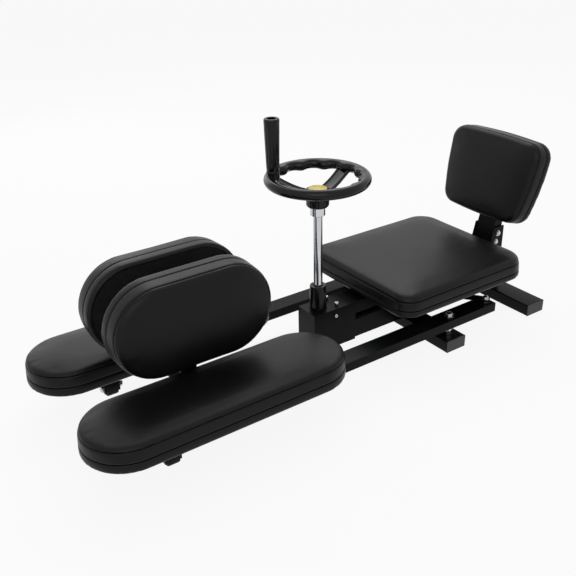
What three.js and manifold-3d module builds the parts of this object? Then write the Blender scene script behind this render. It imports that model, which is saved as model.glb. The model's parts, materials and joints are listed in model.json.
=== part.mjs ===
// Leg stretching machine: a padded seat and backrest on a low steel frame, two swinging
// leg arms, and a hand wheel on a column that drives both arms apart through a lead screw.
// Millimetres. +Z is up, the floor is z = 0, the sitter faces -Y and has +X on the left.
// The origin is on the floor, midway between the two leg pivots.
import * as THREE from 'three';
import Module from 'manifold-3d';
import { mergeVertices } from 'three/addons/utils/BufferGeometryUtils.js';

const wasm = await Module();
wasm.setup();

// Clearances that the whole machine shares
const FIT = 0.3;
const SLIP = 0.2;

// Floor bars
const FLOOR_BAR = { depth: 64, height: 33, wall: 2.5 };
const FRONT_BAR_HALF = 188;
const REAR_BAR_HALF = 181;
const REAR_BAR_Y = 312;
const CAP_FLANGE = 2;
const FLOOR_CAP_PLUG = 12;

// Gearbox and drive
const GEARBOX = { half: 34, front: -335, rear: -207, top: 139, wall: 4 };
const HOUSING_SCREW = { radius: 2.4, length: 14, headRadius: 4.6 };
const COLUMN_Y = -299;

// Where the housing's screws sit: a point on the skin, the way in, and the head's height
const HOUSING_SCREW_PLACES = {
  left: { point: [21, -258, GEARBOX.top], into: [0, 0, -1], head: 10 },
  right: { point: [-21, -258, GEARBOX.top], into: [0, 0, -1], head: 10 },
  side: { point: [GEARBOX.half, -271, GEARBOX.top - 17], into: [-1, 0, 0], head: 5 },
};

// Lead screw, column bearing and miter gears
const SCREW_Z = 66;
const SCREW_RADIUS = 7;
const JOURNAL_RADIUS = 6;
const THREAD_START = -196;
const THREAD_END = 90;
const SCREW_REAR = 108;
const SHAFT_RADIUS = 11;
const SHAFT_FOOT_RADIUS = 9;
const SOCKET = { radius: 21, top: 202 };
const BEARING_BLOCK = { bottom: 104, rear: -236 };
const MITER = { teeth: 16, radius: 20, toe: 13.6, hubRadius: 14, hubTop: 32 };
const TOOTH = { addendum: 1.6, dedendum: 2.8, gap: 5 };

// Screw channel
const CHANNEL = { half: 27, wall: 3, tallTop: 84, tallEnd: -54, lowTop: 52, rear: 300 };

// Leg arms
const PIVOT_X = 156;
const ARM = { width: 48, height: 24, wall: 2, bottom: 62, front: -900, tail: 145 };
const ARM_CAP_PLUG = 5;
const TAIL_BOLT_Y = 131;
const PIVOT_BOLT_RADIUS = 6;
const TAIL_BOLT_RADIUS = 5;
const SPACER_RADIUS = 10.5;

// Links and carriage: the link leaves the arm's tail at this angle from straight inward
const LINK_ANGLE = THREE.MathUtils.degToRad(36);
const LINK_PIN_X = 52;
const LINK = { width: 24, thickness: 5 };
const CROSSHEAD = { half: 66, depth: 36, thickness: 3.6 };
const CARRIAGE_DEPTH = 26;
const NUT_RADIUS = 12;

// Seat, seat beam and backrest
const SEAT_BEAM = { half: 30, bottom: 104, top: 137, wall: 2.5, rear: 330, postDepth: 24 };
const SEAT_RAIL = { half: 150, width: 30, frontY: -90, rearY: 150, studX: 118 };
const SEAT = {
  half: 200, front: -190, rear: 238, bottom: 147, thickness: 56, frontCorner: 46, rearCorner: 60,
};
const RECLINE = THREE.MathUtils.degToRad(14);
const BACKREST = { top: 314, bottom: 264, height: 222, thickness: 59, corner: 43 };
const BACKREST_BASE = { y: 292.3, z: 245.3 };
const BACK_POST = { half: 30, depth: 30, wall: 2.5, low: 103, high: 190 };
const BACK_STUD_VS = [55, 160];
const EAR = { thickness: 5, rear: 320, top: 213 };

// Places along Y and Z of the two bolts through the ears
const UPPER_BACK_BOLT = [297, 195];
const LOWER_BACK_BOLT = [291, 171];
const BACK_BOLT = { radius: 4, headRadius: 8.2, head: 7, nut: 13, nutHeight: 7, tail: 2 };

// Leg pads and upright pads
const LEG_PAD = { half: 97.5, front: -979, rear: -361, lift: 3, thickness: 57 };
const LEG_STUD_YS = [-455, -670, -865];
const UPRIGHT = { inner: 33, thickness: 72, front: -866, rear: -492, bottom: 164, top: 377 };
const UPRIGHT_STUD_ZS = [215, 300];
const BRACKET = { thickness: 6, width: 40, top: 330, rise: 6, spread: 62, legWidth: 24 };
const ROLLER = { y: -797, radius: 21, width: 28, axle: 5, chamfer: 2.5 };
const FORK = { gap: 1.5, cheek: 4, plate: 5, width: 36, drop: 12 };

// Hand wheel and crank grip
const WHEEL = {
  z: 473, rimRadius: 111.5, rimThickness: 12,
  hubRadius: 28, hubFootRadius: 24, flange: 24, hubBottom: 406, hubTop: 448,
};
const WAVES = { count: 12, depth: 5 };
const SPOKE = { width: 32, bevel: 3, thickness: 15 };
const HUB_CAP = { radius: 22, rim: 1.5, height: 4.2 };
const SHAFT_END = 8;
const COLLAR = { radius: 18, bottom: 384 };
const CRANK_ANGLE = THREE.MathUtils.degToRad(-134.5);
const CRANK_RADIUS = 103;
const STUD = { radius: 5, headRadius: 8.5, head: 5, foot: -3 };
const GRIP = { rise: 4, length: 120, lowRadius: 15, highRadius: 18.2, mouthRadius: 10.5, flutes: 12 };

// Upholstery: how far a cover wraps under its board, how deep the board sits in it, and the
// rolled edge, crown, seam and side shape of each kind of pad; sag draws the sides in, or bows
// them out where it is below zero
const WRAP = 12;
const BOARD = 12;
const STUD_RADIUS = 4;
const SEAM = { half: 3.5, depth: 2.4, backEdge: 5 };
const SEAT_COVER = { edge: 18, crown: 6, seamAt: 20, bulge: 1.6, sag: 0 };
const BACK_COVER = { edge: 15, crown: 5, seamAt: 19, bulge: 1.6, sag: -3.5 };
const LEG_COVER = { edge: 15, crown: 4, seamAt: 20, bulge: 1.4, sag: 0 };
const UPRIGHT_COVER = { edge: 21, crown: 5, seamAt: 25, bulge: 1.6, sag: 0 };

// Bolts on the leg arms
const PIVOT_BOLT = {
  washerRadius: 12.5, washer: 1.6, headRadius: 9.5, head: 7.5, nut: 18, nutHeight: 9, tail: 3,
};
const TAIL_BOLT = { washerRadius: 11, washer: 1.5, headRadius: 8.8, head: 6, nut: 16, nutHeight: 5, tail: 2 };
const AXLE_BOLT = { headRadius: 8.5, head: 5, nut: 16, nutHeight: 8, tail: 3 };

// Values that follow from the sizes above
const FRAME_Z = FLOOR_BAR.height;
const ARM_TOP = ARM.bottom + ARM.height;
const LINK_REACH_X = PIVOT_X - LINK_PIN_X;
const LINK_REACH_Y = LINK_REACH_X * Math.tan(LINK_ANGLE);
const LINK_LENGTH = Math.hypot(LINK_REACH_X, LINK_REACH_Y);
const CARRIAGE_Y = TAIL_BOLT_Y - LINK_REACH_Y;
const CROSSHEAD_TOP = CHANNEL.tallTop + FIT + CROSSHEAD.thickness;
const LINK_BOTTOM = CROSSHEAD_TOP + 2 * FIT;
const LINK_TOP = LINK_BOTTOM + LINK.thickness;
const BRACKET_Y = (UPRIGHT.front + UPRIGHT.rear) / 2;
const GRIP_BOTTOM = WHEEL.z + WHEEL.rimThickness + GRIP.rise;
const GRIP_TOP = GRIP_BOTTOM + GRIP.length;
const GRIP_RECESS = GRIP.length / 8;
const CRANK_X = CRANK_RADIUS * Math.cos(CRANK_ANGLE);
const CRANK_Y = COLUMN_Y + CRANK_RADIUS * Math.sin(CRANK_ANGLE);

// Materials, one function each, with colours and gloss read from the photograph
const finish = (color, roughness, metalness) =>
  () => new THREE.MeshStandardMaterial({ color, roughness, metalness });
const blackSteel = finish(0x232427, 0.42, 0.35);
const blackLeather = finish(0x1a1a1c, 0.5, 0);
const dustCover = finish(0x121213, 0.9, 0);
const chrome = finish(0xd9dbde, 0.12, 1);
const zincSteel = finish(0xb4b8bd, 0.32, 1);
const glossPlastic = finish(0x131315, 0.22, 0);
const mattePlastic = finish(0x1d1d1f, 0.6, 0);
const yellowPlastic = finish(0xe0c23a, 0.35, 0);
const rubber = finish(0x161617, 0.85, 0);
const bronze = finish(0xa9824a, 0.38, 1);

/** Turns every triangle of a closed geometry outward. */
function outward(geometry) {
  const plain = new THREE.BufferGeometry();
  plain.setAttribute('position', geometry.getAttribute('position').clone());
  if (geometry.index) plain.setIndex(geometry.index.clone());
  const welded = mergeVertices(plain, 1e-4);
  const at = welded.getAttribute('position');
  const index = welded.index.array;
  const corner = [new THREE.Vector3(), new THREE.Vector3(), new THREE.Vector3()];
  let volume = 0;
  for (let i = 0; i < index.length; i += 3) {
    corner.forEach((point, k) => point.fromBufferAttribute(at, index[i + k]));
    volume += corner[0].dot(corner[1].clone().cross(corner[2]));
  }
  if (volume < 0) {
    for (let i = 0; i < index.length; i += 3) {
      const second = index[i + 1];
      index[i + 1] = index[i + 2];
      index[i + 2] = second;
    }
  }
  return welded;
}

/** The closed geometry as a solid that can be joined and cut. */
function toSolid(geometry) {
  const welded = outward(geometry);
  return new wasm.Manifold(new wasm.Mesh({
    numProp: 3,
    vertProperties: new Float32Array(welded.getAttribute('position').array),
    triVerts: new Uint32Array(welded.index.array),
  }));
}

/** A joined or cut solid as a geometry again. */
function toGeometry(solid) {
  const mesh = solid.getMesh();
  const geometry = new THREE.BufferGeometry();
  geometry.setAttribute('position', new THREE.BufferAttribute(mesh.vertProperties, 3));
  geometry.setIndex(new THREE.BufferAttribute(mesh.triVerts, 1));
  return geometry;
}

const join = (...parts) =>
  toGeometry(parts.map(toSolid).reduce((whole, part) => whole.add(part)));
const cut = (base, ...tools) =>
  toGeometry(tools.map(toSolid).reduce((rest, tool) => rest.subtract(tool), toSolid(base)));

/** A box between two corners. */
function slab(x0, x1, y0, y1, z0, z1) {
  const box = new THREE.BoxGeometry(x1 - x0, y1 - y0, z1 - z0);
  return box.translate((x0 + x1) / 2, (y0 + y1) / 2, (z0 + z1) / 2);
}

/** A round bar between two points. */
function rod(radius, from, to, segments = 12) {
  const start = new THREE.Vector3(...from);
  const span = new THREE.Vector3(...to).sub(start);
  const bar = new THREE.CylinderGeometry(radius, radius, span.length(), segments);
  const turn = new THREE.Quaternion().setFromUnitVectors(
    new THREE.Vector3(0, 1, 0), span.clone().normalize());
  return bar.applyQuaternion(turn).translate(...start.addScaledVector(span, 0.5).toArray());
}

/** The tool for a round hole that clears a shaft of this radius all round. */
function drill(shaftRadius, from, to, segments = 16) {
  return rod((shaftRadius + FIT) / Math.cos(Math.PI / segments), from, to, segments);
}

/** A body of revolution about Z; the profile lists [radius, height] pairs. */
function turned(profile, segments = 24) {
  const points = profile.map(([radius, height]) => new THREE.Vector2(radius, height));
  return new THREE.LatheGeometry(points, segments).rotateX(Math.PI / 2);
}

/** A ring or washer about Z. */
function ring(outer, inner, z0, z1, segments = 20) {
  return turned([[inner, z0], [outer, z0], [outer, z1], [inner, z1], [inner, z0]], segments);
}

/** A flat plate from a polygon in XY, thickened upward from z0. */
function plate(polygon, z0, thickness) {
  const shape = new THREE.Shape(polygon.map(([x, y]) => new THREE.Vector2(x, y)));
  const options = { depth: thickness, bevelEnabled: false };
  return new THREE.ExtrudeGeometry(shape, options).translate(0, 0, z0);
}

/** A hexagon head or nut about Z. */
function hexagon(acrossFlats, z0, z1) {
  const head = new THREE.CylinderGeometry(
    acrossFlats / Math.sqrt(3), acrossFlats / Math.sqrt(3), z1 - z0, 6);
  return head.rotateX(Math.PI / 2).translate(0, 0, (z0 + z1) / 2);
}

/** A domed bolt head about Z that starts at z0. */
function domeHead(radius, height, z0) {
  const shoulder = 0.45;
  return turned([
    [0, z0],
    [radius, z0],
    [radius, z0 + height * shoulder],
    [radius * 0.82, z0 + height * 0.8],
    [radius * 0.45, z0 + height * 0.97],
    [0, z0 + height],
  ], 12);
}

/** A rectangular tube along X, Y or Z, open at both ends. */
function boxTube(axis, wall, x0, x1, y0, y1, z0, z1) {
  const inset = (name) => (name === axis ? -1 : wall);
  const bore = slab(
    x0 + inset('x'), x1 - inset('x'), y0 + inset('y'), y1 - inset('y'), z0 + inset('z'), z1 - inset('z'));
  return cut(slab(x0, x1, y0, y1, z0, z1), bore);
}

/**
 * An outline with rounded corners, counter-clockwise, with its outward normals; each corner is
 * given as [x, y, radius].
 */
function roundedOutline(corners, arcSteps, sideSteps) {
  const outline = [];
  const count = corners.length;
  const sideNormal = (i) => {
    const [ax, ay] = corners[i];
    const [bx, by] = corners[(i + 1) % count];
    return new THREE.Vector2(by - ay, ax - bx).normalize();
  };
  for (let i = 0; i < count; i += 1) {
    const before = sideNormal((i + count - 1) % count);
    const after = sideNormal(i);
    const bisector = before.clone().add(after);
    const [x, y, radius] = corners[i];
    const reach = radius / (0.5 * bisector.lengthSq());
    const centre = new THREE.Vector2(x, y).addScaledVector(bisector, -reach);
    const start = before.angle();
    const sweep = THREE.MathUtils.euclideanModulo(after.angle() - start, 2 * Math.PI);
    for (let step = 0; step <= arcSteps; step += 1) {
      const angle = start + (sweep * step) / arcSteps;
      const normal = new THREE.Vector2(Math.cos(angle), Math.sin(angle));
      outline.push({ point: centre.clone().addScaledVector(normal, radius), normal, pull: 0 });
    }
    outline.push({ side: true });
  }
  return fillSides(outline, sideSteps);
}

/** Adds points along the straight sides; `pull` is 1 at a side's middle and 0 at its ends. */
function fillSides(outline, sideSteps) {
  const filled = [];
  outline.forEach((entry, i) => {
    if (!entry.side) {
      filled.push(entry);
      return;
    }
    const from = outline[i - 1];
    const to = outline[(i + 1) % outline.length];
    for (let step = 1; step < sideSteps; step += 1) {
      const share = step / sideSteps;
      filled.push({
        point: from.point.clone().lerp(to.point, share),
        normal: from.normal.clone(),
        pull: Math.sin(Math.PI * share),
      });
    }
  });
  return filled;
}

/** A stadium outline: two half circles joined by straight sides that run along the second axis. */
function stadium(half, low, high, arcSteps, sideSteps) {
  const outline = [];
  const ends = [[high - half, 0], [low + half, Math.PI]];
  for (const [centre, start] of ends) {
    for (let step = 0; step <= arcSteps; step += 1) {
      const angle = start + (Math.PI * step) / arcSteps;
      const normal = new THREE.Vector2(Math.cos(angle), Math.sin(angle));
      outline.push({ point: new THREE.Vector2(0, centre).addScaledVector(normal, half), normal, pull: 0 });
    }
    outline.push({ side: true });
  }
  return fillSides(outline, sideSteps);
}

/** Points of an outline moved inward by `inset` and drawn in by `sag` at the sides' middles. */
function insetRing(outline, inset, sag) {
  return outline.map(({ point, normal, pull }) =>
    point.clone().addScaledVector(normal, -inset - sag * pull));
}

/**
 * A cushion over a board: back at z = 0, face at z = thickness plus its crown. Its sides are
 * drawn in between the corners, two padded bands meet in a sewn channel, and the cover wraps
 * round to the back and leaves a pocket where the board sits.
 */
function cushion(outline, thickness, { edge, crown, seamAt, bulge, sag }) {
  const { backEdge } = SEAM;
  const rows = [];
  const row = (inset, z, drawn = sag) => rows.push({ points: insetRing(outline, inset, drawn), z });
  row(WRAP, BOARD, 0);
  row(WRAP, 0, 0);
  row(backEdge + bulge, 0);
  row(bulge, backEdge);
  row(0, (backEdge + seamAt) / 2);
  row(bulge, seamAt - SEAM.half);
  row(bulge + SEAM.depth, seamAt);
  row(bulge, seamAt + SEAM.half);
  row(0, (seamAt + thickness - edge) / 2);
  row(bulge, thickness - edge);
  for (const degrees of [35, 65, 90]) {
    const angle = THREE.MathUtils.degToRad(degrees);
    row(bulge + edge * (1 - Math.cos(angle)), thickness - edge + edge * Math.sin(angle));
  }
  const rim = rows[rows.length - 1].points;
  const middle = rim.reduce((sum, p) => sum.add(p), new THREE.Vector2()).divideScalar(rim.length);
  for (const scale of [0.82, 0.5]) {
    const points = rim.map((p) => middle.clone().lerp(p, scale));
    rows.push({ points, z: thickness + crown * (1 - scale * scale) });
  }
  return loft(rows, middle, BOARD, thickness + crown);
}

/** Closes a stack of equal rings with a middle point at each end. */
function loft(rows, middle, startZ, endZ) {
  const count = rows[0].points.length;
  const positions = rows.flatMap(({ points, z }) => points.flatMap((p) => [p.x, p.y, z]));
  positions.push(middle.x, middle.y, startZ, middle.x, middle.y, endZ);
  const start = rows.length * count;
  const index = [];
  for (let i = 0; i < count; i += 1) {
    const next = (i + 1) % count;
    index.push(start, next, i);
    for (let k = 0; k < rows.length - 1; k += 1) {
      const low = k * count;
      const high = low + count;
      index.push(low + i, low + next, high + next, low + i, high + next, high + i);
    }
    const last = (rows.length - 1) * count;
    index.push(last + i, last + next, start + 1);
  }
  const geometry = new THREE.BufferGeometry();
  geometry.setAttribute('position', new THREE.Float32BufferAttribute(positions, 3));
  geometry.setIndex(index);
  return geometry;
}

/** The board that fills a cushion's pocket, with blind holes for its studs. */
function padBoard(outline, holes, thickness = BOARD) {
  const corners = outline.filter(({ pull }) => pull === 0);
  const points = insetRing(corners, WRAP + FIT, 0).map((p) => [p.x, p.y]);
  const board = plate(points, 0, thickness - FIT);
  return cut(board, ...holes.map(([x, y]) => drill(STUD_RADIUS, [x, y, -1], [x, y, BOARD - 3], 12)));
}

/** Moves a pad from its own plane (u, v, w) to its place; w is the padded face's direction. */
function place(geometry, u, v, w, origin) {
  const frame = new THREE.Matrix4().makeBasis(
    new THREE.Vector3(...u), new THREE.Vector3(...v), new THREE.Vector3(...w));
  frame.setPosition(...origin);
  return geometry.clone().applyMatrix4(frame);
}

// Fixed frame

/** A floor bar with holes for the pivot bolts at the given X places. */
function floorBar(half, y, boltXs) {
  const reach = half - CAP_FLANGE;
  const depth = FLOOR_BAR.depth / 2;
  const bar = boxTube('x', FLOOR_BAR.wall, -reach, reach, y - depth, y + depth, 0, FLOOR_BAR.height);
  const drills = boltXs.map((x) =>
    drill(PIVOT_BOLT_RADIUS, [x, y, FLOOR_BAR.height / 2], [x, y, FLOOR_BAR.height + 1]));
  return drills.length ? cut(bar, ...drills) : bar;
}

/** A plastic cap for a floor bar's end; side is +1 or -1 along X. */
function floorBarCap(half, y, side) {
  const depth = FLOOR_BAR.depth / 2;
  const inner = FLOOR_BAR.wall + FIT;
  const flange = slab(half - CAP_FLANGE, half, y - depth, y + depth, 0, FLOOR_BAR.height);
  const plug = slab(
    half - CAP_FLANGE - FLOOR_CAP_PLUG, half - CAP_FLANGE / 2,
    y - depth + inner, y + depth - inner, inner, FLOOR_BAR.height - inner);
  const cap = join(flange, plug);
  return side > 0 ? cap : cap.rotateZ(Math.PI).translate(0, 2 * y, 0);
}

/**
 * The open channel that guides the carriage, with the rear bearing block of the lead screw
 * welded in; its walls drop where the arms' tails swing in.
 */
function screwChannel() {
  const { half, wall, tallTop, tallEnd, lowTop, rear } = CHANNEL;
  const outer = slab(-half, half, GEARBOX.rear, rear, FRAME_Z, tallTop);
  const trough = slab(-half + wall, half - wall, GEARBOX.rear - 1, rear + 1, FRAME_Z + wall, tallTop + 1);
  const step = slab(-half - 1, half + 1, tallEnd, rear + 1, lowTop, tallTop + 1);
  return join(cut(outer, trough, step), screwRearBlock());
}

/** A welded housing, open where the column and the lead screw pass. */
function gearboxHousing() {
  const { half, front, rear, top, wall } = GEARBOX;
  const shell = slab(-half, half, front, rear, FRAME_Z, top);
  const cavity = slab(-half + wall, half - wall, front + wall, rear - wall, FRAME_Z + wall, top - wall);
  const columnHole = drill(SOCKET.radius, [0, COLUMN_Y, top - 2 * wall], [0, COLUMN_Y, top + 1], 28);
  const screwHole = drill(NUT_RADIUS, [0, rear - 2 * wall, SCREW_Z], [0, rear + 1, SCREW_Z]);
  return cut(shell, cavity, columnHole, screwHole, ...screwDrills());
}

function screwDrill({ point, into }) {
  const start = point.map((value, k) => value - into[k]);
  const end = point.map((value, k) => value + into[k] * (HOUSING_SCREW.length + 1));
  return drill(HOUSING_SCREW.radius, start, end, 12);
}

const screwDrills = () => Object.values(HOUSING_SCREW_PLACES).map(screwDrill);

function housingScrew({ point, into, head }) {
  const tip = point.map((value, k) => value + into[k] * HOUSING_SCREW.length);
  const outer = point.map((value, k) => value - into[k] * head);
  return join(
    rod(HOUSING_SCREW.radius, outer, tip), rod(HOUSING_SCREW.headRadius, point, outer));
}

/** The column's bearing: a sleeve that stands out of the housing's top, on a block screwed under it. */
function columnSocket() {
  const { half, front, top, wall } = GEARBOX;
  const lip = 1.5;
  const side = half - wall - FIT;
  const under = top - wall - FIT;
  const block = slab(-side, side, front + wall + FIT, BEARING_BLOCK.rear, BEARING_BLOCK.bottom, under);
  const sleeve = turned([
    [0, under - lip],
    [SOCKET.radius, under - lip],
    [SOCKET.radius, SOCKET.top - lip],
    [SOCKET.radius - lip, SOCKET.top],
    [0, SOCKET.top],
  ], 24).translate(0, COLUMN_Y, 0);
  const bore = drill(
    SHAFT_RADIUS, [0, COLUMN_Y, BEARING_BLOCK.bottom - 1], [0, COLUMN_Y, SOCKET.top + 1], 24);
  return cut(join(block, sleeve), bore, ...screwDrills());
}

/** The flanged bush in the housing's rear wall. */
function screwFrontBush() {
  const flange = 3;
  const profile = [
    [JOURNAL_RADIUS + FIT, GEARBOX.rear - GEARBOX.wall - flange],
    [NUT_RADIUS + 4, GEARBOX.rear - GEARBOX.wall - flange],
    [NUT_RADIUS + 4, GEARBOX.rear - GEARBOX.wall - FIT],
    [NUT_RADIUS, GEARBOX.rear - GEARBOX.wall - FIT],
    [NUT_RADIUS, GEARBOX.rear + flange],
    [JOURNAL_RADIUS + FIT, GEARBOX.rear + flange],
    [JOURNAL_RADIUS + FIT, GEARBOX.rear - GEARBOX.wall - flange],
  ];
  return turned(profile, 20).rotateX(-Math.PI / 2).translate(0, 0, SCREW_Z);
}

/** The lead screw's rear bearing block. */
function screwRearBlock() {
  const half = 20;
  const above = 16;
  const body = slab(
    -half, half, THREAD_END + 2, SCREW_REAR, FRAME_Z + CHANNEL.wall - 1, SCREW_Z + above);
  const bore = drill(JOURNAL_RADIUS, [0, THREAD_END, SCREW_Z], [0, SCREW_REAR + 1, SCREW_Z]);
  return cut(body, bore);
}

/** The seat frame: a tube along the middle, its rear post and the two ears for the backrest. */
function seatBeam() {
  const { half, bottom, top, wall, rear, postDepth } = SEAT_BEAM;
  const postFront = REAR_BAR_Y - postDepth / 3;
  const tube = boxTube('y', wall, -half, half, GEARBOX.rear, rear, bottom, top);
  const post = boxTube('z', wall, -half, half, postFront, postFront + postDepth, FRAME_Z, bottom + wall);
  return join(tube, post, ...backEars());
}

/** A welded stud that stands into a pad's board. */
const stud = (x, y, z0) => rod(STUD_RADIUS, [x, y, z0 - 2], [x, y, z0 + BOARD - 4]);

/** A flat bar across the seat beam, with a stud near each end for the seat board. */
function seatRail(y) {
  const { half, width, studX } = SEAT_RAIL;
  const bar = slab(-half, half, y - width / 2, y + width / 2, SEAT_BEAM.top, SEAT.bottom);
  return join(bar, stud(-studX, y, SEAT.bottom), stud(studX, y, SEAT.bottom));
}

function seatOutline() {
  const { half, front, rear, frontCorner, rearCorner } = SEAT;
  return roundedOutline([
    [-half, front, frontCorner],
    [half, front, frontCorner],
    [half, rear, rearCorner],
    [-half, rear, rearCorner],
  ], 4, 4);
}

const seatStudPlaces = () => [SEAT_RAIL.frontY, SEAT_RAIL.rearY]
  .flatMap((y) => [[-SEAT_RAIL.studX, y], [SEAT_RAIL.studX, y]]);

// The backrest's own plane: u across, v up the recline, w toward the sitter
const BACK_U = [1, 0, 0];
const BACK_V = [0, Math.sin(RECLINE), Math.cos(RECLINE)];
const BACK_W = [0, -Math.cos(RECLINE), Math.sin(RECLINE)];
const BACK_ORIGIN = [0, BACKREST_BASE.y, BACKREST_BASE.z];
const placeBack = (geometry) => place(geometry, BACK_U, BACK_V, BACK_W, BACK_ORIGIN);

function backrestOutline() {
  const { top, bottom, height, corner } = BACKREST;
  const corners = [[-bottom / 2, 0], [bottom / 2, 0], [top / 2, height], [-top / 2, height]];
  return roundedOutline(corners.map((place) => [...place, corner]), 4, 4);
}

/** The reclined tube behind the backrest, closed at its top, with studs for the board. */
function backPost() {
  const { half, depth, wall, low, high } = BACK_POST;
  const tube = boxTube('y', wall, -half, half, -low, high, -depth, 0);
  const lid = slab(-half, half, high - wall, high, -depth, 0);
  const studs = backStudPlaces().map(([x, y]) => stud(x, y, 0));
  return cut(placeBack(join(tube, lid, ...studs).translate(0, 0, -FIT)), ...backBoltDrills());
}

function backBoltDrill([y, z]) {
  const reach = BACK_POST.half + EAR.thickness + 1;
  return drill(BACK_BOLT.radius, [-reach, y, z], [reach, y, z], 12);
}

const backBoltDrills = () => [UPPER_BACK_BOLT, LOWER_BACK_BOLT].map(backBoltDrill);

/** Two plates beside the seat beam and the back post. */
function backEars() {
  const { thickness, rear, top } = EAR;
  const front = (z) => BACKREST_BASE.y - (BACKREST_BASE.z - z) * Math.tan(RECLINE) - 2;
  const foot = SEAT_BEAM.bottom + 2;
  const profile = [[front(foot), foot], [rear, foot], [rear, top], [front(top), top]];
  const ears = [SEAT_BEAM.half, -SEAT_BEAM.half - thickness].map((x) =>
    cut(place(plate(profile, x, thickness), [0, 1, 0], [0, 0, 1], [1, 0, 0], [0, 0, 0]),
      ...backBoltDrills()));
  return ears;
}

/** A bolt along X with a domed head on the left side and a nut on the right side. */
function backBolt([y, z]) {
  const { radius, headRadius, head, nut, nutHeight, tail } = BACK_BOLT;
  const face = BACK_POST.half + EAR.thickness;
  const dome = domeHead(headRadius, head, face).rotateY(Math.PI / 2);
  const hexNut = hexagon(nut, -face - nutHeight, -face).rotateY(Math.PI / 2);
  const shank = rod(radius, [-face - nutHeight - tail, 0, 0], [face + 1, 0, 0]);
  return join(dome, hexNut, shank).translate(0, y, z);
}

const backStudPlaces = () => BACK_STUD_VS.map((v) => [0, v]);

/** The chrome spacer that holds an arm above the front bar. */
const pivotSpacer = (side) =>
  ring(SPACER_RADIUS, PIVOT_BOLT_RADIUS + FIT, FRAME_Z, ARM.bottom - SLIP).translate(side * PIVOT_X, 0, 0);

/** The pivot bolt, with its washer above the arm and its nut under the bar's top wall. */
function pivotBolt(side) {
  const { washerRadius, washer, headRadius, head, nut, nutHeight, tail } = PIVOT_BOLT;
  const washerZ = ARM_TOP + SLIP;
  const headZ = washerZ + washer;
  const nutTop = FRAME_Z - FLOOR_BAR.wall;
  const pieces = [
    rod(washerRadius, [0, 0, washerZ], [0, 0, headZ]),
    domeHead(headRadius, head, headZ - FIT),
    rod(PIVOT_BOLT_RADIUS, [0, 0, nutTop - nutHeight - tail], [0, 0, headZ]),
    hexagon(nut, nutTop - nutHeight, nutTop),
  ];
  return join(...pieces).translate(side * PIVOT_X, 0, 0);
}

// Leg arms; side is +1 for the left one and -1 for the right one

/** The arm's rectangular tube with its pivot and tail holes, pad studs and roller fork. */
function arm(side) {
  const { width, wall, bottom, front, tail } = ARM;
  const x = side * PIVOT_X;
  const tube = boxTube(
    'y', wall, x - width / 2, x + width / 2, front + CAP_FLANGE, tail, bottom, ARM_TOP);
  const hole = (radius, y) => drill(radius, [x, y, bottom - 1], [x, y, ARM_TOP + 1]);
  const drilled = cut(tube, hole(PIVOT_BOLT_RADIUS, 0), hole(TAIL_BOLT_RADIUS, TAIL_BOLT_Y));
  return join(drilled, rollerFork(side), ...LEG_STUD_YS.map((y) => stud(x, y, ARM_TOP)));
}

/** The plastic cap in the arm's front end. */
function armCap(side) {
  const { width, wall, bottom, front } = ARM;
  const inner = wall + FIT;
  const x = side * PIVOT_X;
  const half = width / 2;
  const shoulder = front + CAP_FLANGE;
  const flange = slab(x - half, x + half, front, shoulder, bottom, ARM_TOP);
  const plug = slab(
    x - half + inner, x + half - inner,
    shoulder - 1, shoulder + ARM_CAP_PLUG,
    bottom + inner, ARM_TOP - inner);
  return join(flange, plug);
}

/** The tail bolt with its nut, and the washers below and above the link. */
function tailBolt(side) {
  const { washerRadius, washer, headRadius, head, nut, nutHeight, tail } = TAIL_BOLT;
  const headZ = LINK_TOP + SLIP + washer;
  const pieces = [
    domeHead(headRadius, head, headZ - FIT),
    rod(TAIL_BOLT_RADIUS, [0, 0, ARM.bottom - nutHeight - tail], [0, 0, headZ]),
    hexagon(nut, ARM.bottom - nutHeight, ARM.bottom),
    rod(washerRadius, [0, 0, ARM_TOP], [0, 0, LINK_BOTTOM - SLIP]),
    rod(washerRadius, [0, 0, LINK_TOP + SLIP], [0, 0, headZ]),
  ];
  return join(...pieces).translate(side * PIVOT_X, TAIL_BOLT_Y, 0);
}

const legOutline = () => stadium(LEG_PAD.half, LEG_PAD.front, LEG_PAD.rear, 10, 6);
const placeLeg = (geometry, side) => geometry.translate(side * PIVOT_X, 0, ARM_TOP);

function legCushion(side) {
  return placeLeg(cushion(legOutline(), LEG_PAD.thickness, LEG_COVER).translate(0, 0, LEG_PAD.lift), side);
}

function legBoard(side) {
  const holes = LEG_STUD_YS.map((y) => [0, y]);
  return placeLeg(padBoard(legOutline(), holes, BOARD + LEG_PAD.lift), side);
}

const uprightOutline = () => {
  const half = (UPRIGHT.top - UPRIGHT.bottom) / 2;
  return stadium(half, UPRIGHT.front, UPRIGHT.rear, 10, 4);
};

/** An upright pad's plane: its outline's length lies along Y and its face looks outward. */
function placeUpright(geometry, side) {
  const middle = (UPRIGHT.top + UPRIGHT.bottom) / 2;
  return place(geometry, [0, 0, -side], [0, 1, 0], [side, 0, 0], [side * UPRIGHT.inner, 0, middle]);
}

function uprightCushion(side) {
  return placeUpright(cushion(uprightOutline(), UPRIGHT.thickness, UPRIGHT_COVER), side);
}

function uprightBoard(side) {
  const middle = (UPRIGHT.top + UPRIGHT.bottom) / 2;
  const holes = UPRIGHT_STUD_ZS.map((z) => [-side * (z - middle), BRACKET_Y]);
  return placeUpright(padBoard(uprightOutline(), holes), side);
}

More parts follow.
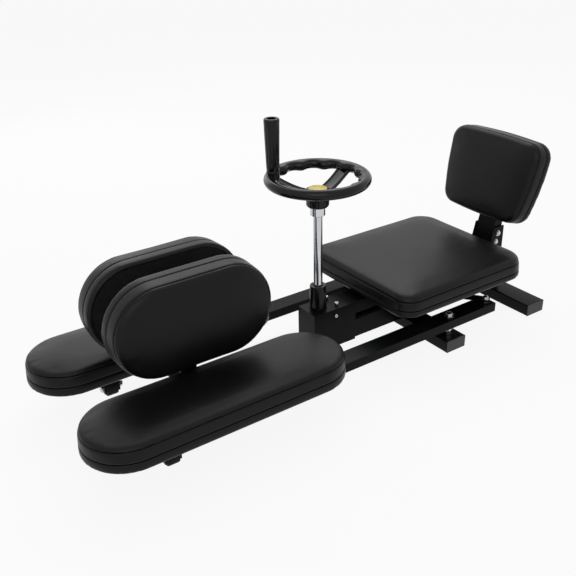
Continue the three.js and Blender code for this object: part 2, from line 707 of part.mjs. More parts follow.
/** The bracket: a strap behind the pad with studs, and two legs that spread to the arm. */
function uprightBracket(side) {
  const { thickness, width, top, rise, spread, legWidth } = BRACKET;
  const inner = UPRIGHT.inner - thickness;
  const armFace = PIVOT_X - ARM.width / 2;
  const legZ = ARM.bottom + rise;
  const legs = [-1, 1].map((way) => plate([
    [inner, BRACKET_Y + way * legWidth / 3],
    [inner, BRACKET_Y - way * legWidth / 3],
    [armFace, BRACKET_Y + way * (spread - legWidth)],
    [armFace, BRACKET_Y + way * spread],
  ], legZ, thickness));
  const strap = slab(
    inner, UPRIGHT.inner, BRACKET_Y - width / 2, BRACKET_Y + width / 2, legZ, top);
  const studs = UPRIGHT_STUD_ZS.map((z) => stud(-z, BRACKET_Y, UPRIGHT.inner).rotateY(Math.PI / 2));
  const bracket = join(strap, ...legs, ...studs);
  return side > 0 ? bracket : mirrored(bracket);
}

/** The same solid on the other side of the machine's middle plane. */
function mirrored(geometry) {
  return outward(geometry.clone().applyMatrix4(new THREE.Matrix4().makeScale(-1, 1, 1)));
}

/** The fork under the arm that holds the roller. */
function rollerFork(side) {
  const { gap, cheek, width, drop } = FORK;
  const inner = ROLLER.width / 2 + gap;
  const half = width / 2;
  const roof = slab(-half, half, -inner - cheek, inner + cheek, ARM.bottom - FORK.plate, ARM.bottom);
  const cheeks = [-inner - cheek, inner].map((y) =>
    slab(-half + cheek, half - cheek, y, y + cheek, drop, ARM.bottom - 1));
  const bore = drill(ROLLER.axle, [0, -width, ROLLER.radius], [0, width, ROLLER.radius]);
  return cut(join(roof, ...cheeks), bore).translate(side * PIVOT_X, ROLLER.y, 0);
}

/** The roller's axle: a bolt along the arm with its head in front and its nut behind. */
function rollerAxle(side) {
  const { headRadius, head, nut, nutHeight, tail } = AXLE_BOLT;
  const outer = ROLLER.width / 2 + FORK.gap + FORK.cheek;
  const pieces = [
    rod(ROLLER.axle, [0, -outer - 1, 0], [0, outer + nutHeight + tail, 0]),
    rod(headRadius, [0, -outer - head, 0], [0, -outer, 0]),
    hexagon(nut, outer, outer + nutHeight).rotateX(-Math.PI / 2),
  ];
  return join(...pieces).translate(side * PIVOT_X, ROLLER.y, ROLLER.radius);
}

function roller(side) {
  const { chamfer } = ROLLER;
  const half = ROLLER.width / 2;
  const wheel = turned([
    [ROLLER.axle + FIT, -half],
    [ROLLER.radius - chamfer, -half],
    [ROLLER.radius, -half + chamfer],
    [ROLLER.radius, half - chamfer],
    [ROLLER.radius - chamfer, half],
    [ROLLER.axle + FIT, half],
    [ROLLER.axle + FIT, -half],
  ], 24);
  return wheel.rotateX(-Math.PI / 2).translate(side * PIVOT_X, ROLLER.y, ROLLER.radius);
}

// Links, carriage and lead screw

/**
 * A flat link with round ends: a bore for the arm's tail bolt, and the welded pin of its inner
 * eye, which ends just above the crosshead because the linkage is left open there.
 */
function link(side) {
  const half = LINK.width / 2;
  const outline = stadium(half, -half, LINK_LENGTH + half, 10, 2).map(({ point }) => [point.x, point.y]);
  const bar = plate(outline, LINK_BOTTOM, LINK.thickness);
  const bore = drill(TAIL_BOLT_RADIUS, [0, LINK_LENGTH, LINK_BOTTOM - 1], [0, LINK_LENGTH, LINK_TOP + 1]);
  const turn = side * (Math.PI / 2 - LINK_ANGLE);
  const pinned = join(cut(bar, bore), domeHead(TAIL_BOLT.headRadius, TAIL_BOLT.head, LINK_TOP - FIT));
  return pinned.rotateZ(-turn).translate(side * LINK_PIN_X, CARRIAGE_Y, 0);
}

/** The block that slides in the channel, with the crosshead plate across its top. */
function nutCarriage() {
  const side = CHANNEL.half - CHANNEL.wall - FIT;
  const half = CARRIAGE_DEPTH / 2;
  const block = slab(
    -side, side, CARRIAGE_Y - half, CARRIAGE_Y + half, FRAME_Z + CHANNEL.wall + FIT, CROSSHEAD_TOP - 1);
  const crosshead = slab(
    -CROSSHEAD.half, CROSSHEAD.half, CARRIAGE_Y - CROSSHEAD.depth / 2, CARRIAGE_Y + CROSSHEAD.depth / 2,
    CROSSHEAD_TOP - CROSSHEAD.thickness, CROSSHEAD_TOP);
  const bore = drill(
    NUT_RADIUS, [0, CARRIAGE_Y - half - 1, SCREW_Z], [0, CARRIAGE_Y + half + 1, SCREW_Z]);
  return cut(join(block, crosshead), bore);
}

/** The flanged nut that the lead screw drives. */
function leadNut() {
  const half = CARRIAGE_DEPTH / 2;
  const flange = 5;
  const bore = SCREW_RADIUS + FIT;
  const profile = [
    [bore, -half],
    [NUT_RADIUS, -half],
    [NUT_RADIUS, half + FIT],
    [NUT_RADIUS + 4, half + FIT],
    [NUT_RADIUS + 4, half + FIT + flange],
    [bore, half + FIT + flange],
    [bore, -half],
  ];
  return turned(profile, 24).rotateX(-Math.PI / 2).translate(0, CARRIAGE_Y, SCREW_Z);
}

/** The lead screw with a journal at each end. */
function leadScrew() {
  const front = COLUMN_Y + MITER.toe;
  const profile = [
    [0, front],
    [JOURNAL_RADIUS, front],
    [JOURNAL_RADIUS, THREAD_START - 2],
    [SCREW_RADIUS, THREAD_START],
    [SCREW_RADIUS, THREAD_END],
    [JOURNAL_RADIUS, THREAD_END],
    [JOURNAL_RADIUS, SCREW_REAR + 4],
    [0, SCREW_REAR + 4],
  ];
  return turned(profile, 20).rotateX(-Math.PI / 2).translate(0, 0, SCREW_Z);
}

/**
 * A miter gear about Z with its pitch cone's tip at the origin and its hub above. Its blank
 * has one flat for each tooth.
 */
function miterGear(boreRadius) {
  const { teeth, radius, toe, hubRadius, hubTop } = MITER;
  const raise = TOOTH.addendum * Math.SQRT1_2;
  const back = 3;
  const flat = 1 / Math.cos(Math.PI / teeth);
  const blank = turned([
    [boreRadius * flat, toe - raise],
    [(toe + raise) * flat, toe - raise],
    [(radius + raise) * flat, radius - raise],
    [(radius + raise - back) * flat, radius - raise + back],
    [hubRadius, radius + back],
    [hubRadius, hubTop],
    [boreRadius * flat, hubTop],
    [boreRadius * flat, toe - raise],
  ], teeth);
  const gaps = Array.from({ length: teeth }, (_, k) => toothGap().rotateZ((k * 2 * Math.PI) / teeth));
  return cut(blank, ...gaps);
}

/** One tooth gap: a wedge that narrows toward the tip of the pitch cone. */
function toothGap() {
  const pitchLength = MITER.radius * Math.SQRT2;
  const near = 0.5 * pitchLength;
  const far = 1.25 * pitchLength;
  const depthRatio = 3;
  const halfDiagonal = (length) => (TOOTH.gap * length) / pitchLength / Math.SQRT2;
  const tilt = Math.atan2((TOOTH.gap * depthRatio) / 2 - TOOTH.dedendum, pitchLength);
  const wedge = new THREE.CylinderGeometry(halfDiagonal(far), halfDiagonal(near), far - near, 4, 1);
  wedge.rotateY(Math.PI / 4).translate(0, (far + near) / 2, 0).scale(depthRatio, 1, 1);
  return wedge.rotateZ(-Math.PI / 4 - tilt).applyMatrix4(new THREE.Matrix4().makeBasis(
    new THREE.Vector3(1, 0, 0), new THREE.Vector3(0, 0, 1), new THREE.Vector3(0, -1, 0)));
}

const driveGear = () => miterGear(SHAFT_FOOT_RADIUS + FIT).translate(0, COLUMN_Y, SCREW_Z);
const drivenGear = () => miterGear(JOURNAL_RADIUS + FIT)
  .rotateZ(Math.PI / MITER.teeth).rotateX(-Math.PI / 2).translate(0, COLUMN_Y, SCREW_Z);

// Column, hand wheel and crank grip

/** The column's shaft, stepped down where it passes through its gear. */
function columnShaft() {
  const shoulder = SCREW_Z + MITER.hubTop + FIT;
  return turned([
    [0, SCREW_Z + MITER.toe - 1],
    [SHAFT_FOOT_RADIUS, SCREW_Z + MITER.toe - 1],
    [SHAFT_FOOT_RADIUS, shoulder],
    [SHAFT_RADIUS, shoulder],
    [SHAFT_RADIUS, WHEEL.hubTop - SHAFT_END],
    [0, WHEEL.hubTop - SHAFT_END],
  ]).translate(0, COLUMN_Y, 0);
}

const shaftCollar = () =>
  ring(COLLAR.radius, SHAFT_RADIUS + FIT, COLLAR.bottom, WHEEL.hubBottom, 24).translate(0, COLUMN_Y, 0);

/** The rim, with finger waves that stand out along its inner and lower sides. */
function wheelRim() {
  const { rimRadius, rimThickness } = WHEEL;
  const rim = new THREE.TorusGeometry(rimRadius, rimThickness, 8, WAVES.count * 6);
  const at = rim.getAttribute('position');
  for (let i = 0; i < at.count; i += 1) {
    const angle = Math.atan2(at.getY(i), at.getX(i));
    const across = (Math.hypot(at.getX(i), at.getY(i)) - rimRadius) / rimThickness;
    const up = at.getZ(i) / rimThickness;
    const facing = Math.max(0, -0.9 * across - 0.4 * up);
    const stretch = 1 + (WAVES.depth / rimThickness) * facing * (0.5 + 0.5 * Math.cos(WAVES.count * angle));
    const radius = rimRadius + across * rimThickness * stretch;
    at.setXYZ(i, radius * Math.cos(angle), radius * Math.sin(angle), at.getZ(i) * stretch);
  }
  return rim;
}

/** One dished spoke along +X that rises from the hub to the rim. */
function wheelSpoke() {
  const { width, bevel, thickness } = SPOKE;
  const { rimRadius, hubRadius, hubTop, z } = WHEEL;
  const hubZ = hubTop - z - bevel;
  const start = 0.7 * hubRadius;
  const bend = 0.55 * rimRadius;
  const outline = new THREE.Shape();
  outline.moveTo(start, hubZ);
  outline.quadraticCurveTo(bend, hubZ + bevel, rimRadius - 4, thickness / 2 - 1);
  outline.lineTo(rimRadius - 2, -thickness / 2);
  outline.quadraticCurveTo(bend, hubZ - thickness, start, hubZ - thickness - bevel);
  const depth = width - 2 * bevel;
  const bar = new THREE.ExtrudeGeometry(outline, {
    depth, bevelEnabled: true, bevelThickness: bevel, bevelSize: 2, bevelSegments: 1, curveSegments: 4,
  });
  return bar.translate(0, 0, -depth / 2).rotateX(Math.PI / 2);
}

/** The boss on the rim that carries the crank grip. */
const crankBoss = () =>
  rod(GRIP.lowRadius, [CRANK_RADIUS, 0, -WHEEL.rimThickness / 2],
    [CRANK_RADIUS, 0, GRIP_BOTTOM - WHEEL.z - FIT], 20);

/** The hub about Z: a cone that widens to the flange where the spokes start. */
function wheelHub() {
  const { hubRadius, hubFootRadius, flange, hubBottom, hubTop } = WHEEL;
  const edge = 3;
  return turned([
    [0, hubBottom],
    [hubFootRadius, hubBottom],
    [hubRadius - edge, hubTop - flange],
    [hubRadius, hubTop - flange + edge],
    [hubRadius, hubTop - edge],
    [hubRadius - edge, hubTop],
    [0, hubTop],
  ], 28).translate(0, 0, -WHEEL.z);
}

function handWheel() {
  const spokes = [0, 1, 2].map((k) => wheelSpoke().rotateZ((k * 2 * Math.PI) / 3));
  const body = join(wheelRim(), wheelHub(), ...spokes, crankBoss());
  const boreTop = WHEEL.hubTop - WHEEL.z - SHAFT_END + FIT;
  const shaftBore = drill(SHAFT_RADIUS, [0, 0, WHEEL.hubBottom - WHEEL.z - 1], [0, 0, boreTop], 24);
  const studBore = drill(STUD.radius, [CRANK_RADIUS, 0, STUD.foot], [CRANK_RADIUS, 0, GRIP_BOTTOM - WHEEL.z]);
  return cut(body, shaftBore, studBore).rotateZ(CRANK_ANGLE).translate(0, COLUMN_Y, WHEEL.z);
}

/** The round cap over the hub's nut. */
const hubCap = () => turned([
  [0, WHEEL.hubTop],
  [HUB_CAP.radius, WHEEL.hubTop],
  [HUB_CAP.radius, WHEEL.hubTop + HUB_CAP.rim],
  [0.77 * HUB_CAP.radius, WHEEL.hubTop + 0.8 * HUB_CAP.height],
  [0, WHEEL.hubTop + HUB_CAP.height],
], 24).translate(0, COLUMN_Y, 0);

/** The stud that the grip turns on, with its head in the grip's recess. */
function crankStud() {
  const seat = GRIP_TOP - GRIP_RECESS + SLIP;
  const shank = rod(STUD.radius, [0, 0, WHEEL.z + STUD.foot + FIT], [0, 0, seat + 1]);
  const head = rod(STUD.headRadius, [0, 0, seat], [0, 0, seat + STUD.head]);
  return join(shank, head).translate(CRANK_X, CRANK_Y, 0);
}

/** The tapered grip, fluted along its length and recessed at its top. */
function crankGrip() {
  const { length, lowRadius, highRadius, mouthRadius, flutes } = GRIP;
  const bore = STUD.radius + FIT;
  const radiusAt = (share) => lowRadius + (highRadius - lowRadius) * share;
  const heightAt = (share) => GRIP_BOTTOM + length * share;
  const body = turned([
    [bore, GRIP_BOTTOM],
    [radiusAt(0) - 2, GRIP_BOTTOM],
    [radiusAt(0), heightAt(0.02)],
    [radiusAt(0.15), heightAt(0.15)],
    [radiusAt(0.5), heightAt(0.5)],
    [radiusAt(0.85), heightAt(0.85)],
    [radiusAt(1), heightAt(0.975)],
    [radiusAt(1) - 3, GRIP_TOP],
    [mouthRadius, GRIP_TOP],
    [mouthRadius, GRIP_TOP - GRIP_RECESS],
    [bore, GRIP_TOP - GRIP_RECESS],
    [bore, GRIP_BOTTOM],
  ], flutes * 2);
  const fluteDepth = 1.2;
  const at = body.getAttribute('position');
  for (let i = 0; i < at.count; i += 1) {
    const radius = Math.hypot(at.getX(i), at.getY(i));
    const share = (at.getZ(i) - GRIP_BOTTOM) / length;
    const onSide = radius > mouthRadius + 1 && share > 0.1 && share < 0.9;
    const angle = Math.atan2(at.getY(i), at.getX(i));
    const moved = onSide ? radius - fluteDepth * (0.5 - 0.5 * Math.cos(flutes * angle)) : radius;
    at.setXY(i, moved * Math.cos(angle), moved * Math.sin(angle));
  }
  return body.translate(CRANK_X, CRANK_Y, 0);
}

// The whole machine

const machine = new THREE.Group();
machine.name = 'leg_stretching_machine';

/** Adds one named piece. */
function add(name, geometry, material) {
  const shown = outward(geometry).toNonIndexed();
  shown.computeVertexNormals();
  const mesh = new THREE.Mesh(shown, material());
  mesh.name = name;
  machine.add(mesh);
}

function seatCushion() {
  return cushion(seatOutline(), SEAT.thickness, SEAT_COVER).translate(0, 0, SEAT.bottom);
}

function backrestCushion() {
  return placeBack(cushion(backrestOutline(), BACKREST.thickness, BACK_COVER));
}

add('front_crossbar', floorBar(FRONT_BAR_HALF, 0, [-PIVOT_X, PIVOT_X]), blackSteel);
add('rear_crossbar', floorBar(REAR_BAR_HALF, REAR_BAR_Y, []), blackSteel);
add('screw_channel', screwChannel(), blackSteel);
add('gearbox_housing', gearboxHousing(), blackSteel);
add('column_socket', columnSocket(), glossPlastic);
add('screw_front_bush', screwFrontBush(), bronze);
add('seat_beam', seatBeam(), blackSteel);
add('front_seat_rail', seatRail(SEAT_RAIL.frontY), blackSteel);
add('rear_seat_rail', seatRail(SEAT_RAIL.rearY), blackSteel);
add('seat_board', padBoard(seatOutline(), seatStudPlaces()).translate(0, 0, SEAT.bottom), dustCover);
add('seat_cushion', seatCushion(), blackLeather);
add('backrest_post', backPost(), blackSteel);
add('backrest_board', placeBack(padBoard(backrestOutline(), backStudPlaces())), dustCover);
add('backrest_cushion', backrestCushion(), blackLeather);

for (const [name, place] of Object.entries(HOUSING_SCREW_PLACES)) {
  add(`${name}_housing_screw`, housingScrew(place), zincSteel);
}

for (const [name, place] of [['upper', UPPER_BACK_BOLT], ['lower', LOWER_BACK_BOLT]]) {
  add(`${name}_backrest_bolt`, backBolt(place), zincSteel);
}

for (const [name, side] of [['left', 1], ['right', -1]]) {
  add(`front_${name}_cap`, floorBarCap(FRONT_BAR_HALF, 0, side), mattePlastic);
  add(`rear_${name}_cap`, floorBarCap(REAR_BAR_HALF, REAR_BAR_Y, side), mattePlastic);
  add(`${name}_pivot_spacer`, pivotSpacer(side), chrome);
  add(`${name}_pivot_bolt`, pivotBolt(side), zincSteel);
  add(`${name}_arm`, arm(side), blackSteel);
  add(`${name}_arm_cap`, armCap(side), mattePlastic);
  add(`${name}_tail_bolt`, tailBolt(side), zincSteel);
  add(`${name}_leg_board`, legBoard(side), dustCover);
  add(`${name}_leg_cushion`, legCushion(side), blackLeather);
  add(`${name}_upright_bracket`, uprightBracket(side), blackSteel);
  add(`${name}_upright_board`, uprightBoard(side), dustCover);
  add(`${name}_upright_cushion`, uprightCushion(side), blackLeather);
  add(`${name}_roller_axle`, rollerAxle(side), zincSteel);
  add(`${name}_roller`, roller(side), rubber);
  add(`${name}_link`, link(side), blackSteel);
}

add('nut_carriage', nutCarriage(), blackSteel);
add('lead_nut', leadNut(), bronze);
add('lead_screw', leadScrew(), zincSteel);
add('driven_gear', drivenGear(), zincSteel);
add('drive_gear', driveGear(), zincSteel);
add('column_shaft', columnShaft(), chrome);
add('column_collar', shaftCollar(), chrome);
add('hand_wheel', handWheel(), glossPlastic);
add('hub_cap', hubCap(), yellowPlastic);
add('crank_stud', crankStud(), zincSteel);
add('crank_grip', crankGrip(), glossPlastic);

export default machine;
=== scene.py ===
"""Leg stretching machine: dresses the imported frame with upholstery, steel and moulded plastic.

Every sub-assembly is a class that builds its own meshes in metres, in the frame's axes: +Z is up,
the sitter faces -Y and has +X on the left, and the leg pivots stand at y = 0.
"""
import json
import logging
import math
from dataclasses import dataclass, field
from enum import Enum
from typing import Callable, Iterable, Sequence

import bmesh
import bpy
import numpy as np
from mathutils import Matrix, Vector, noise
from mathutils.bvhtree import BVHTree
from mathutils.kdtree import KDTree

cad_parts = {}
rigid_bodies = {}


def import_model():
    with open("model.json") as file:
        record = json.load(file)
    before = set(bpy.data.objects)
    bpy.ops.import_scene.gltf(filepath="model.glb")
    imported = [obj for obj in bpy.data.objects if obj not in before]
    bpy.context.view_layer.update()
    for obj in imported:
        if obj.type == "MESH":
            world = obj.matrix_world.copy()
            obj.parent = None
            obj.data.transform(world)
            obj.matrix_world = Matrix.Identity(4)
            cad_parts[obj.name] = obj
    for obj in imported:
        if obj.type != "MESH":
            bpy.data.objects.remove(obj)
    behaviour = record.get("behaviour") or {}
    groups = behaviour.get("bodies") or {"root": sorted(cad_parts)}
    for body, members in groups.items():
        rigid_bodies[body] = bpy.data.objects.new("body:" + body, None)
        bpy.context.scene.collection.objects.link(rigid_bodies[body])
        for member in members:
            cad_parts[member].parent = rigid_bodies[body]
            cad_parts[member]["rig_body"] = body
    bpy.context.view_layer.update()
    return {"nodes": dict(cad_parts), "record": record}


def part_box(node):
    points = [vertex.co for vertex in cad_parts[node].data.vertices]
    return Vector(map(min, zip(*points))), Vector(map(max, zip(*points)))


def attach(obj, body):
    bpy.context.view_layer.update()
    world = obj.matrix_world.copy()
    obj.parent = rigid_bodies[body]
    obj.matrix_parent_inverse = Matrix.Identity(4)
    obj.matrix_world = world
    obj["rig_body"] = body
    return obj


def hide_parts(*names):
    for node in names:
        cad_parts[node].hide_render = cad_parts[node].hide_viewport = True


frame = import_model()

MM = 0.001
WELD = 1e-6  # corners nearer than this, in metres, are one corner
MIX_SHARE, MIX_FIRST, MIX_SECOND, MIX_RESULT = 0, 6, 7, 2  # colour sockets of the mix node
LEAST, MOST, RANDOM_RESULT = 2, 3, 1  # number sockets of the random value node
SIDES = {"left": 1, "right": -1}
LOG = logging.getLogger("leg_stretching_machine")


# Plain helpers


def linear(hex_code: str) -> tuple[float, float, float, float]:
    """Turns an sRGB hex colour into linear light.

    Args:
        hex_code: six hex digits, with or without a leading hash.

    Returns:
        Red, green, blue and an alpha of 1.
    """
    digits = hex_code.lstrip("#")
    values = [int(digits[i:i + 2], 16) / 255 for i in (0, 2, 4)]
    red, green, blue = (v / 12.92 if v <= 0.04045 else ((v + 0.055) / 1.055) ** 2.4 for v in values)
    return (red, green, blue, 1.0)


def add_node(tree: bpy.types.NodeTree, kind: str, links: dict | None = None, out: int | str = 0,
             **settings) -> bpy.types.NodeSocket | None:
    """Adds one node with its settings and what feeds its inputs.

    Args:
        tree: the shader or geometry tree.
        kind: the node's type name.
        links: input name or number to an output socket or a plain value.
        out: the name or number of the output that is wanted.
        settings: the node's own properties.

    Returns:
        That output, or None from a node that has none.
    """
    made = tree.nodes.new(kind)
    for name, value in settings.items():
        setattr(made, name, value)
    for name, value in (links or {}).items():
        socket = made.inputs[name]
        if isinstance(value, bpy.types.NodeSocket):
            tree.links.new(value, socket)
        else:
            socket.default_value = value
    return made.outputs[out] if made.outputs else None


@dataclass(frozen=True)
class Span:
    """A CAD node's box at rest."""

    low: Vector
    high: Vector

    @classmethod
    def of(cls, node: str) -> "Span":
        """The box of the named node."""
        low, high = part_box(node)
        return cls(Vector(low), Vector(high))

    @property
    def centre(self) -> Vector:
        """The box's middle."""
        return (self.low + self.high) / 2

    @property
    def size(self) -> Vector:
        """The box's extents."""
        return self.high - self.low


# Finishes


class Grain(Enum):
    """How a surface's fine relief runs."""

    ORANGE_PEEL = "orange_peel"
    PEBBLED = "pebbled"
    WOVEN = "woven"
    DRAWN = "drawn"
    CAST = "cast"


@dataclass(frozen=True)
class Finish:
    """One surface: its colours, its gloss and its fine relief.

    The relief repeats every grain millimetres and stands relief millimetres high. Blotches are
    the slow changes of tint and gloss that handling and dust leave.
    """

    name: str
    slot: str
    colour: str
    tint: str
    roughness: float
    metallic: float = 0.0
    gloss_spread: float = 0.06
    grain: Grain = Grain.CAST
    grain_size: float = 1.0
    relief: float = 0.02
    blotch: float = 90.0
    sheen: float = 0.0
    coat: float = 0.0
    specular: float = 0.5

    def material(self) -> bpy.types.Material:
        """The finish's material, built once."""
        known = bpy.data.materials.get(self.name)
        if known:
            return known
        made = bpy.data.materials.new(self.name)
        made.use_nodes = True
        tree = made.node_tree
        tree.nodes.clear()
        place = add_node(tree, "ShaderNodeTexCoord", out="Object")
        blotch = add_node(tree, "ShaderNodeTexNoise", {
            "Vector": place, "Scale": 1 / (self.blotch * MM), "Detail": 4.0, "Roughness": 0.55,
        })
        soft = add_node(tree, "ShaderNodeMapRange", {
            "Value": blotch, "From Min": 0.35, "From Max": 0.7,
        }, interpolation_type="SMOOTHSTEP")
        colour = add_node(tree, "ShaderNodeMix", {
            MIX_SHARE: soft, MIX_FIRST: linear(self.colour), MIX_SECOND: linear(self.tint),
        }, out=MIX_RESULT, data_type="RGBA")
        rough = add_node(tree, "ShaderNodeMapRange", {
            "Value": blotch, "From Min": 0.3, "From Max": 0.7,
            "To Min": self.roughness - self.gloss_spread, "To Max": self.roughness + self.gloss_spread,
        })
        height = self.height(tree, place)
        colour, height = self.detail(tree, place, colour, height)
        bump = add_node(tree, "ShaderNodeBump", {
            "Height": height, "Strength": 1.0, "Distance": self.relief * MM,
        })
        shader = add_node(tree, "ShaderNodeBsdfPrincipled", {
            "Base Color": colour, "Roughness": rough, "Metallic": self.metallic, "Normal": bump,
            "Specular IOR Level": self.specular, "Sheen Weight": self.sheen, "Sheen Roughness": 0.4,
            "Coat Weight": self.coat, "Coat Roughness": 0.08,
        })
        add_node(tree, "ShaderNodeOutputMaterial", {"Surface": shader})
        return made

    def height(self, tree: bpy.types.NodeTree, place: bpy.types.NodeSocket) -> bpy.types.NodeSocket:
        """The fine relief.

        Args:
            tree: the material's tree.
            place: object coordinates.

        Returns:
            A height from 0 to 1.
        """
        scale = 1 / (self.grain_size * MM)
        if self.grain is Grain.PEBBLED:
            cells = add_node(tree, "ShaderNodeTexVoronoi", {
                "Vector": place, "Scale": scale, "Randomness": 1.0,
            }, feature="F1")
            return add_node(tree, "ShaderNodeMapRange", {
                "Value": cells, "From Min": 0.1, "From Max": 0.75, "To Min": 1.0, "To Max": 0.0,
            }, interpolation_type="SMOOTHSTEP")
        if self.grain is Grain.WOVEN:
            threads = [add_node(tree, "ShaderNodeTexWave", {
                "Vector": place, "Scale": scale / 6.3, "Distortion": 1.2, "Detail": 1.0,
            }, out="Fac", bands_direction=axis) for axis in "XYZ"]
            highest = threads[0]
            for thread in threads[1:]:
                highest = add_node(tree, "ShaderNodeMath", {0: highest, 1: thread}, operation="MAXIMUM")
            return highest
        stretch = (1.0, 1.0, 0.04) if self.grain is Grain.DRAWN else (1.0, 1.0, 1.0)
        drawn = add_node(tree, "ShaderNodeMapping", {"Vector": place, "Scale": stretch})
        detail = 2.0 if self.grain is Grain.ORANGE_PEEL else 5.0
        return add_node(tree, "ShaderNodeTexNoise", {
            "Vector": drawn, "Scale": scale, "Detail": detail, "Roughness": 0.5,
        })

    def detail(self, tree: bpy.types.NodeTree, place: bpy.types.NodeSocket, colour: bpy.types.NodeSocket,
               height: bpy.types.NodeSocket) -> tuple[bpy.types.NodeSocket, bpy.types.NodeSocket]:
        """What a finish adds of its own; the plain finish adds nothing."""
        return colour, height


@dataclass(frozen=True)
class SewnLeatherette(Finish):
    """PVC-coated cloth over foam, with painted shade darkening the folds of its two sewn seams.

    Each pad stores how far a point lies above its band seam and above its face seam, in
    millimetres. The folds' depth and the creases' height are counted in heights of the grain.
    """

    fold: float = 1.7
    depth: float = 9.0
    creases: float = 14.0

    def detail(self, tree: bpy.types.NodeTree, place: bpy.types.NodeSocket, colour: bpy.types.NodeSocket,
               height: bpy.types.NodeSocket) -> tuple[bpy.types.NodeSocket, bpy.types.NodeSocket]:
        """Adds the seams' folds, painted almost black as the shade in their grooves, and the soft creases
        that stretch leaves.

        Args:
            tree: the material's tree.
            place: object coordinates.
            colour: the cover's colour.
            height: the cover's grain.

        Returns:
            The colour with the folds' painted shade, and the height with the fold.
        """
        gaps = []
        for seam in ("above_band_seam", "above_face_seam"):
            above = add_node(tree, "ShaderNodeAttribute", out="Fac", attribute_name=seam)
            gaps.append(add_node(tree, "ShaderNodeMath", {0: above}, operation="ABSOLUTE"))
        gap = add_node(tree, "ShaderNodeMath", {0: gaps[0], 1: gaps[1]}, operation="MINIMUM")
        open_face = add_node(tree, "ShaderNodeMapRange", {
            "Value": gap, "From Min": self.fold * 0.25, "From Max": self.fold,
        }, interpolation_type="SMOOTHSTEP")
        # Painted shade: the colour goes near black inside each seam's fold, standing in for the shade in the
        # groove.
        painted_fold_shade = add_node(tree, "ShaderNodeMix", {
            MIX_SHARE: open_face, MIX_FIRST: linear("#020202"), MIX_SECOND: colour,
        }, out=MIX_RESULT, data_type="RGBA")
        crease = add_node(tree, "ShaderNodeTexNoise", {
            "Vector": place, "Scale": 28.0, "Detail": 2.0, "Distortion": 0.4,
        })
        raised = add_node(tree, "ShaderNodeMath", {0: crease, 1: self.creases, 2: height},
                          operation="MULTIPLY_ADD")
        folded = add_node(tree, "ShaderNodeMath", {0: open_face, 1: self.depth, 2: raised},
                          operation="MULTIPLY_ADD")
        return painted_fold_shade, folded


# Powder coat over steel: satin black with the fine orange peel of the baked powder.
POWDER_COAT = Finish("baked_powder_coat", "black_steel", "#08090a", "#0c0d0e", 0.3,
                     grain=Grain.ORANGE_PEEL, grain_size=1.6, relief=0.04, blotch=120.0, specular=0.07)
# PVC leatherette: satin, with a soft pebble that shows only where light grazes it.
LEATHERETTE = SewnLeatherette("satin_leatherette", "black_leatherette", "#0b0b0c", "#0e0e0f", 0.38,
                              grain=Grain.PEBBLED, grain_size=1.5, relief=0.03, blotch=140.0,
                              gloss_spread=0.03, specular=0.17)
# Spun-bonded dust cloth: dead matt, so it reads darker than the cover round it.
DUST_CLOTH = Finish("spun_dust_cloth", "backed_board", "#0c0c0d", "#1b1b1d", 0.92, grain=Grain.WOVEN,
                    grain_size=1.2, relief=0.12, blotch=26.0, sheen=0.12, specular=0.2)
# Bonded nylon thread: a slight shine along each stitch.
THREAD = Finish("bonded_nylon_thread", "black_leatherette", "#1b1b1d", "#222224", 0.55, grain=Grain.DRAWN,
                grain_size=0.5, relief=0.05, blotch=20.0)
# Chromed bar: mirror bright with faint polishing lines along it.
CHROME = Finish("polished_chrome", "chrome", "#c3c5c8", "#cdcfd2", 0.1, metallic=1.0,
                grain=Grain.DRAWN, grain_size=0.8, relief=0.004, blotch=40.0, gloss_spread=0.04)
# Bright zinc plate: pale steel with a soft cloudy gloss.
ZINC = Finish("bright_zinc_plate", "zinc_steel", "#b9bcc0", "#c8cacd", 0.24, metallic=1.0,
              grain=Grain.CAST, grain_size=1.4, relief=0.01, blotch=9.0, gloss_spread=0.08)
# Oiled steel: the lead screw's dark film, which keeps a low shine on the thread.
OILED_STEEL = Finish("oiled_steel", "zinc_steel", "#18181a", "#202123", 0.42, grain=Grain.DRAWN,
                     grain_size=0.8, relief=0.01, blotch=12.0, specular=0.2)
# Moulded phenolic: deep black gloss with the slight waviness of a moulding.
MOULDED_GLOSS = Finish("moulded_phenolic", "gloss_plastic", "#09090a", "#0e0e0f", 0.2,
                       grain=Grain.ORANGE_PEEL, grain_size=9.0, relief=0.03, blotch=45.0, coat=0.05,
                       specular=0.2)
# Spark-textured polyethylene: the end plugs' matt black.
MOULDED_MATTE = Finish("spark_textured_polyethylene", "matte_plastic", "#202021", "#282829", 0.5,
                       grain=Grain.CAST, grain_size=0.7, relief=0.04, blotch=30.0)
# Yellow ABS: the plain cap pressed into the wheel's hub.
YELLOW_CAP = Finish("yellow_abs", "yellow_plastic", "#d7bd3d", "#e3cf62", 0.34,
                    grain=Grain.ORANGE_PEEL, grain_size=3.0, relief=0.01, blotch=12.0)
# Moulded rubber: the rollers' treads, dull with a bloom of grey.
RUBBER = Finish("moulded_rubber", "roller_rubber", "#0a0a0a", "#111111", 0.75, grain=Grain.CAST,
                grain_size=1.2, relief=0.06, blotch=25.0, specular=0.2)
# Turned bronze: the nut and the bush, warm and slightly brushed.
BRONZE = Finish("turned_bronze", "bronze", "#a07b45", "#8b6737", 0.36, metallic=1.0,
                grain=Grain.DRAWN, grain_size=0.9, relief=0.02, blotch=15.0)

BY_SLOT = {finish.slot: finish for finish in (
    POWDER_COAT, LEATHERETTE, DUST_CLOTH, CHROME, ZINC, MOULDED_GLOSS, MOULDED_MATTE, YELLOW_CAP,
    RUBBER, BRONZE)}


# Meshes


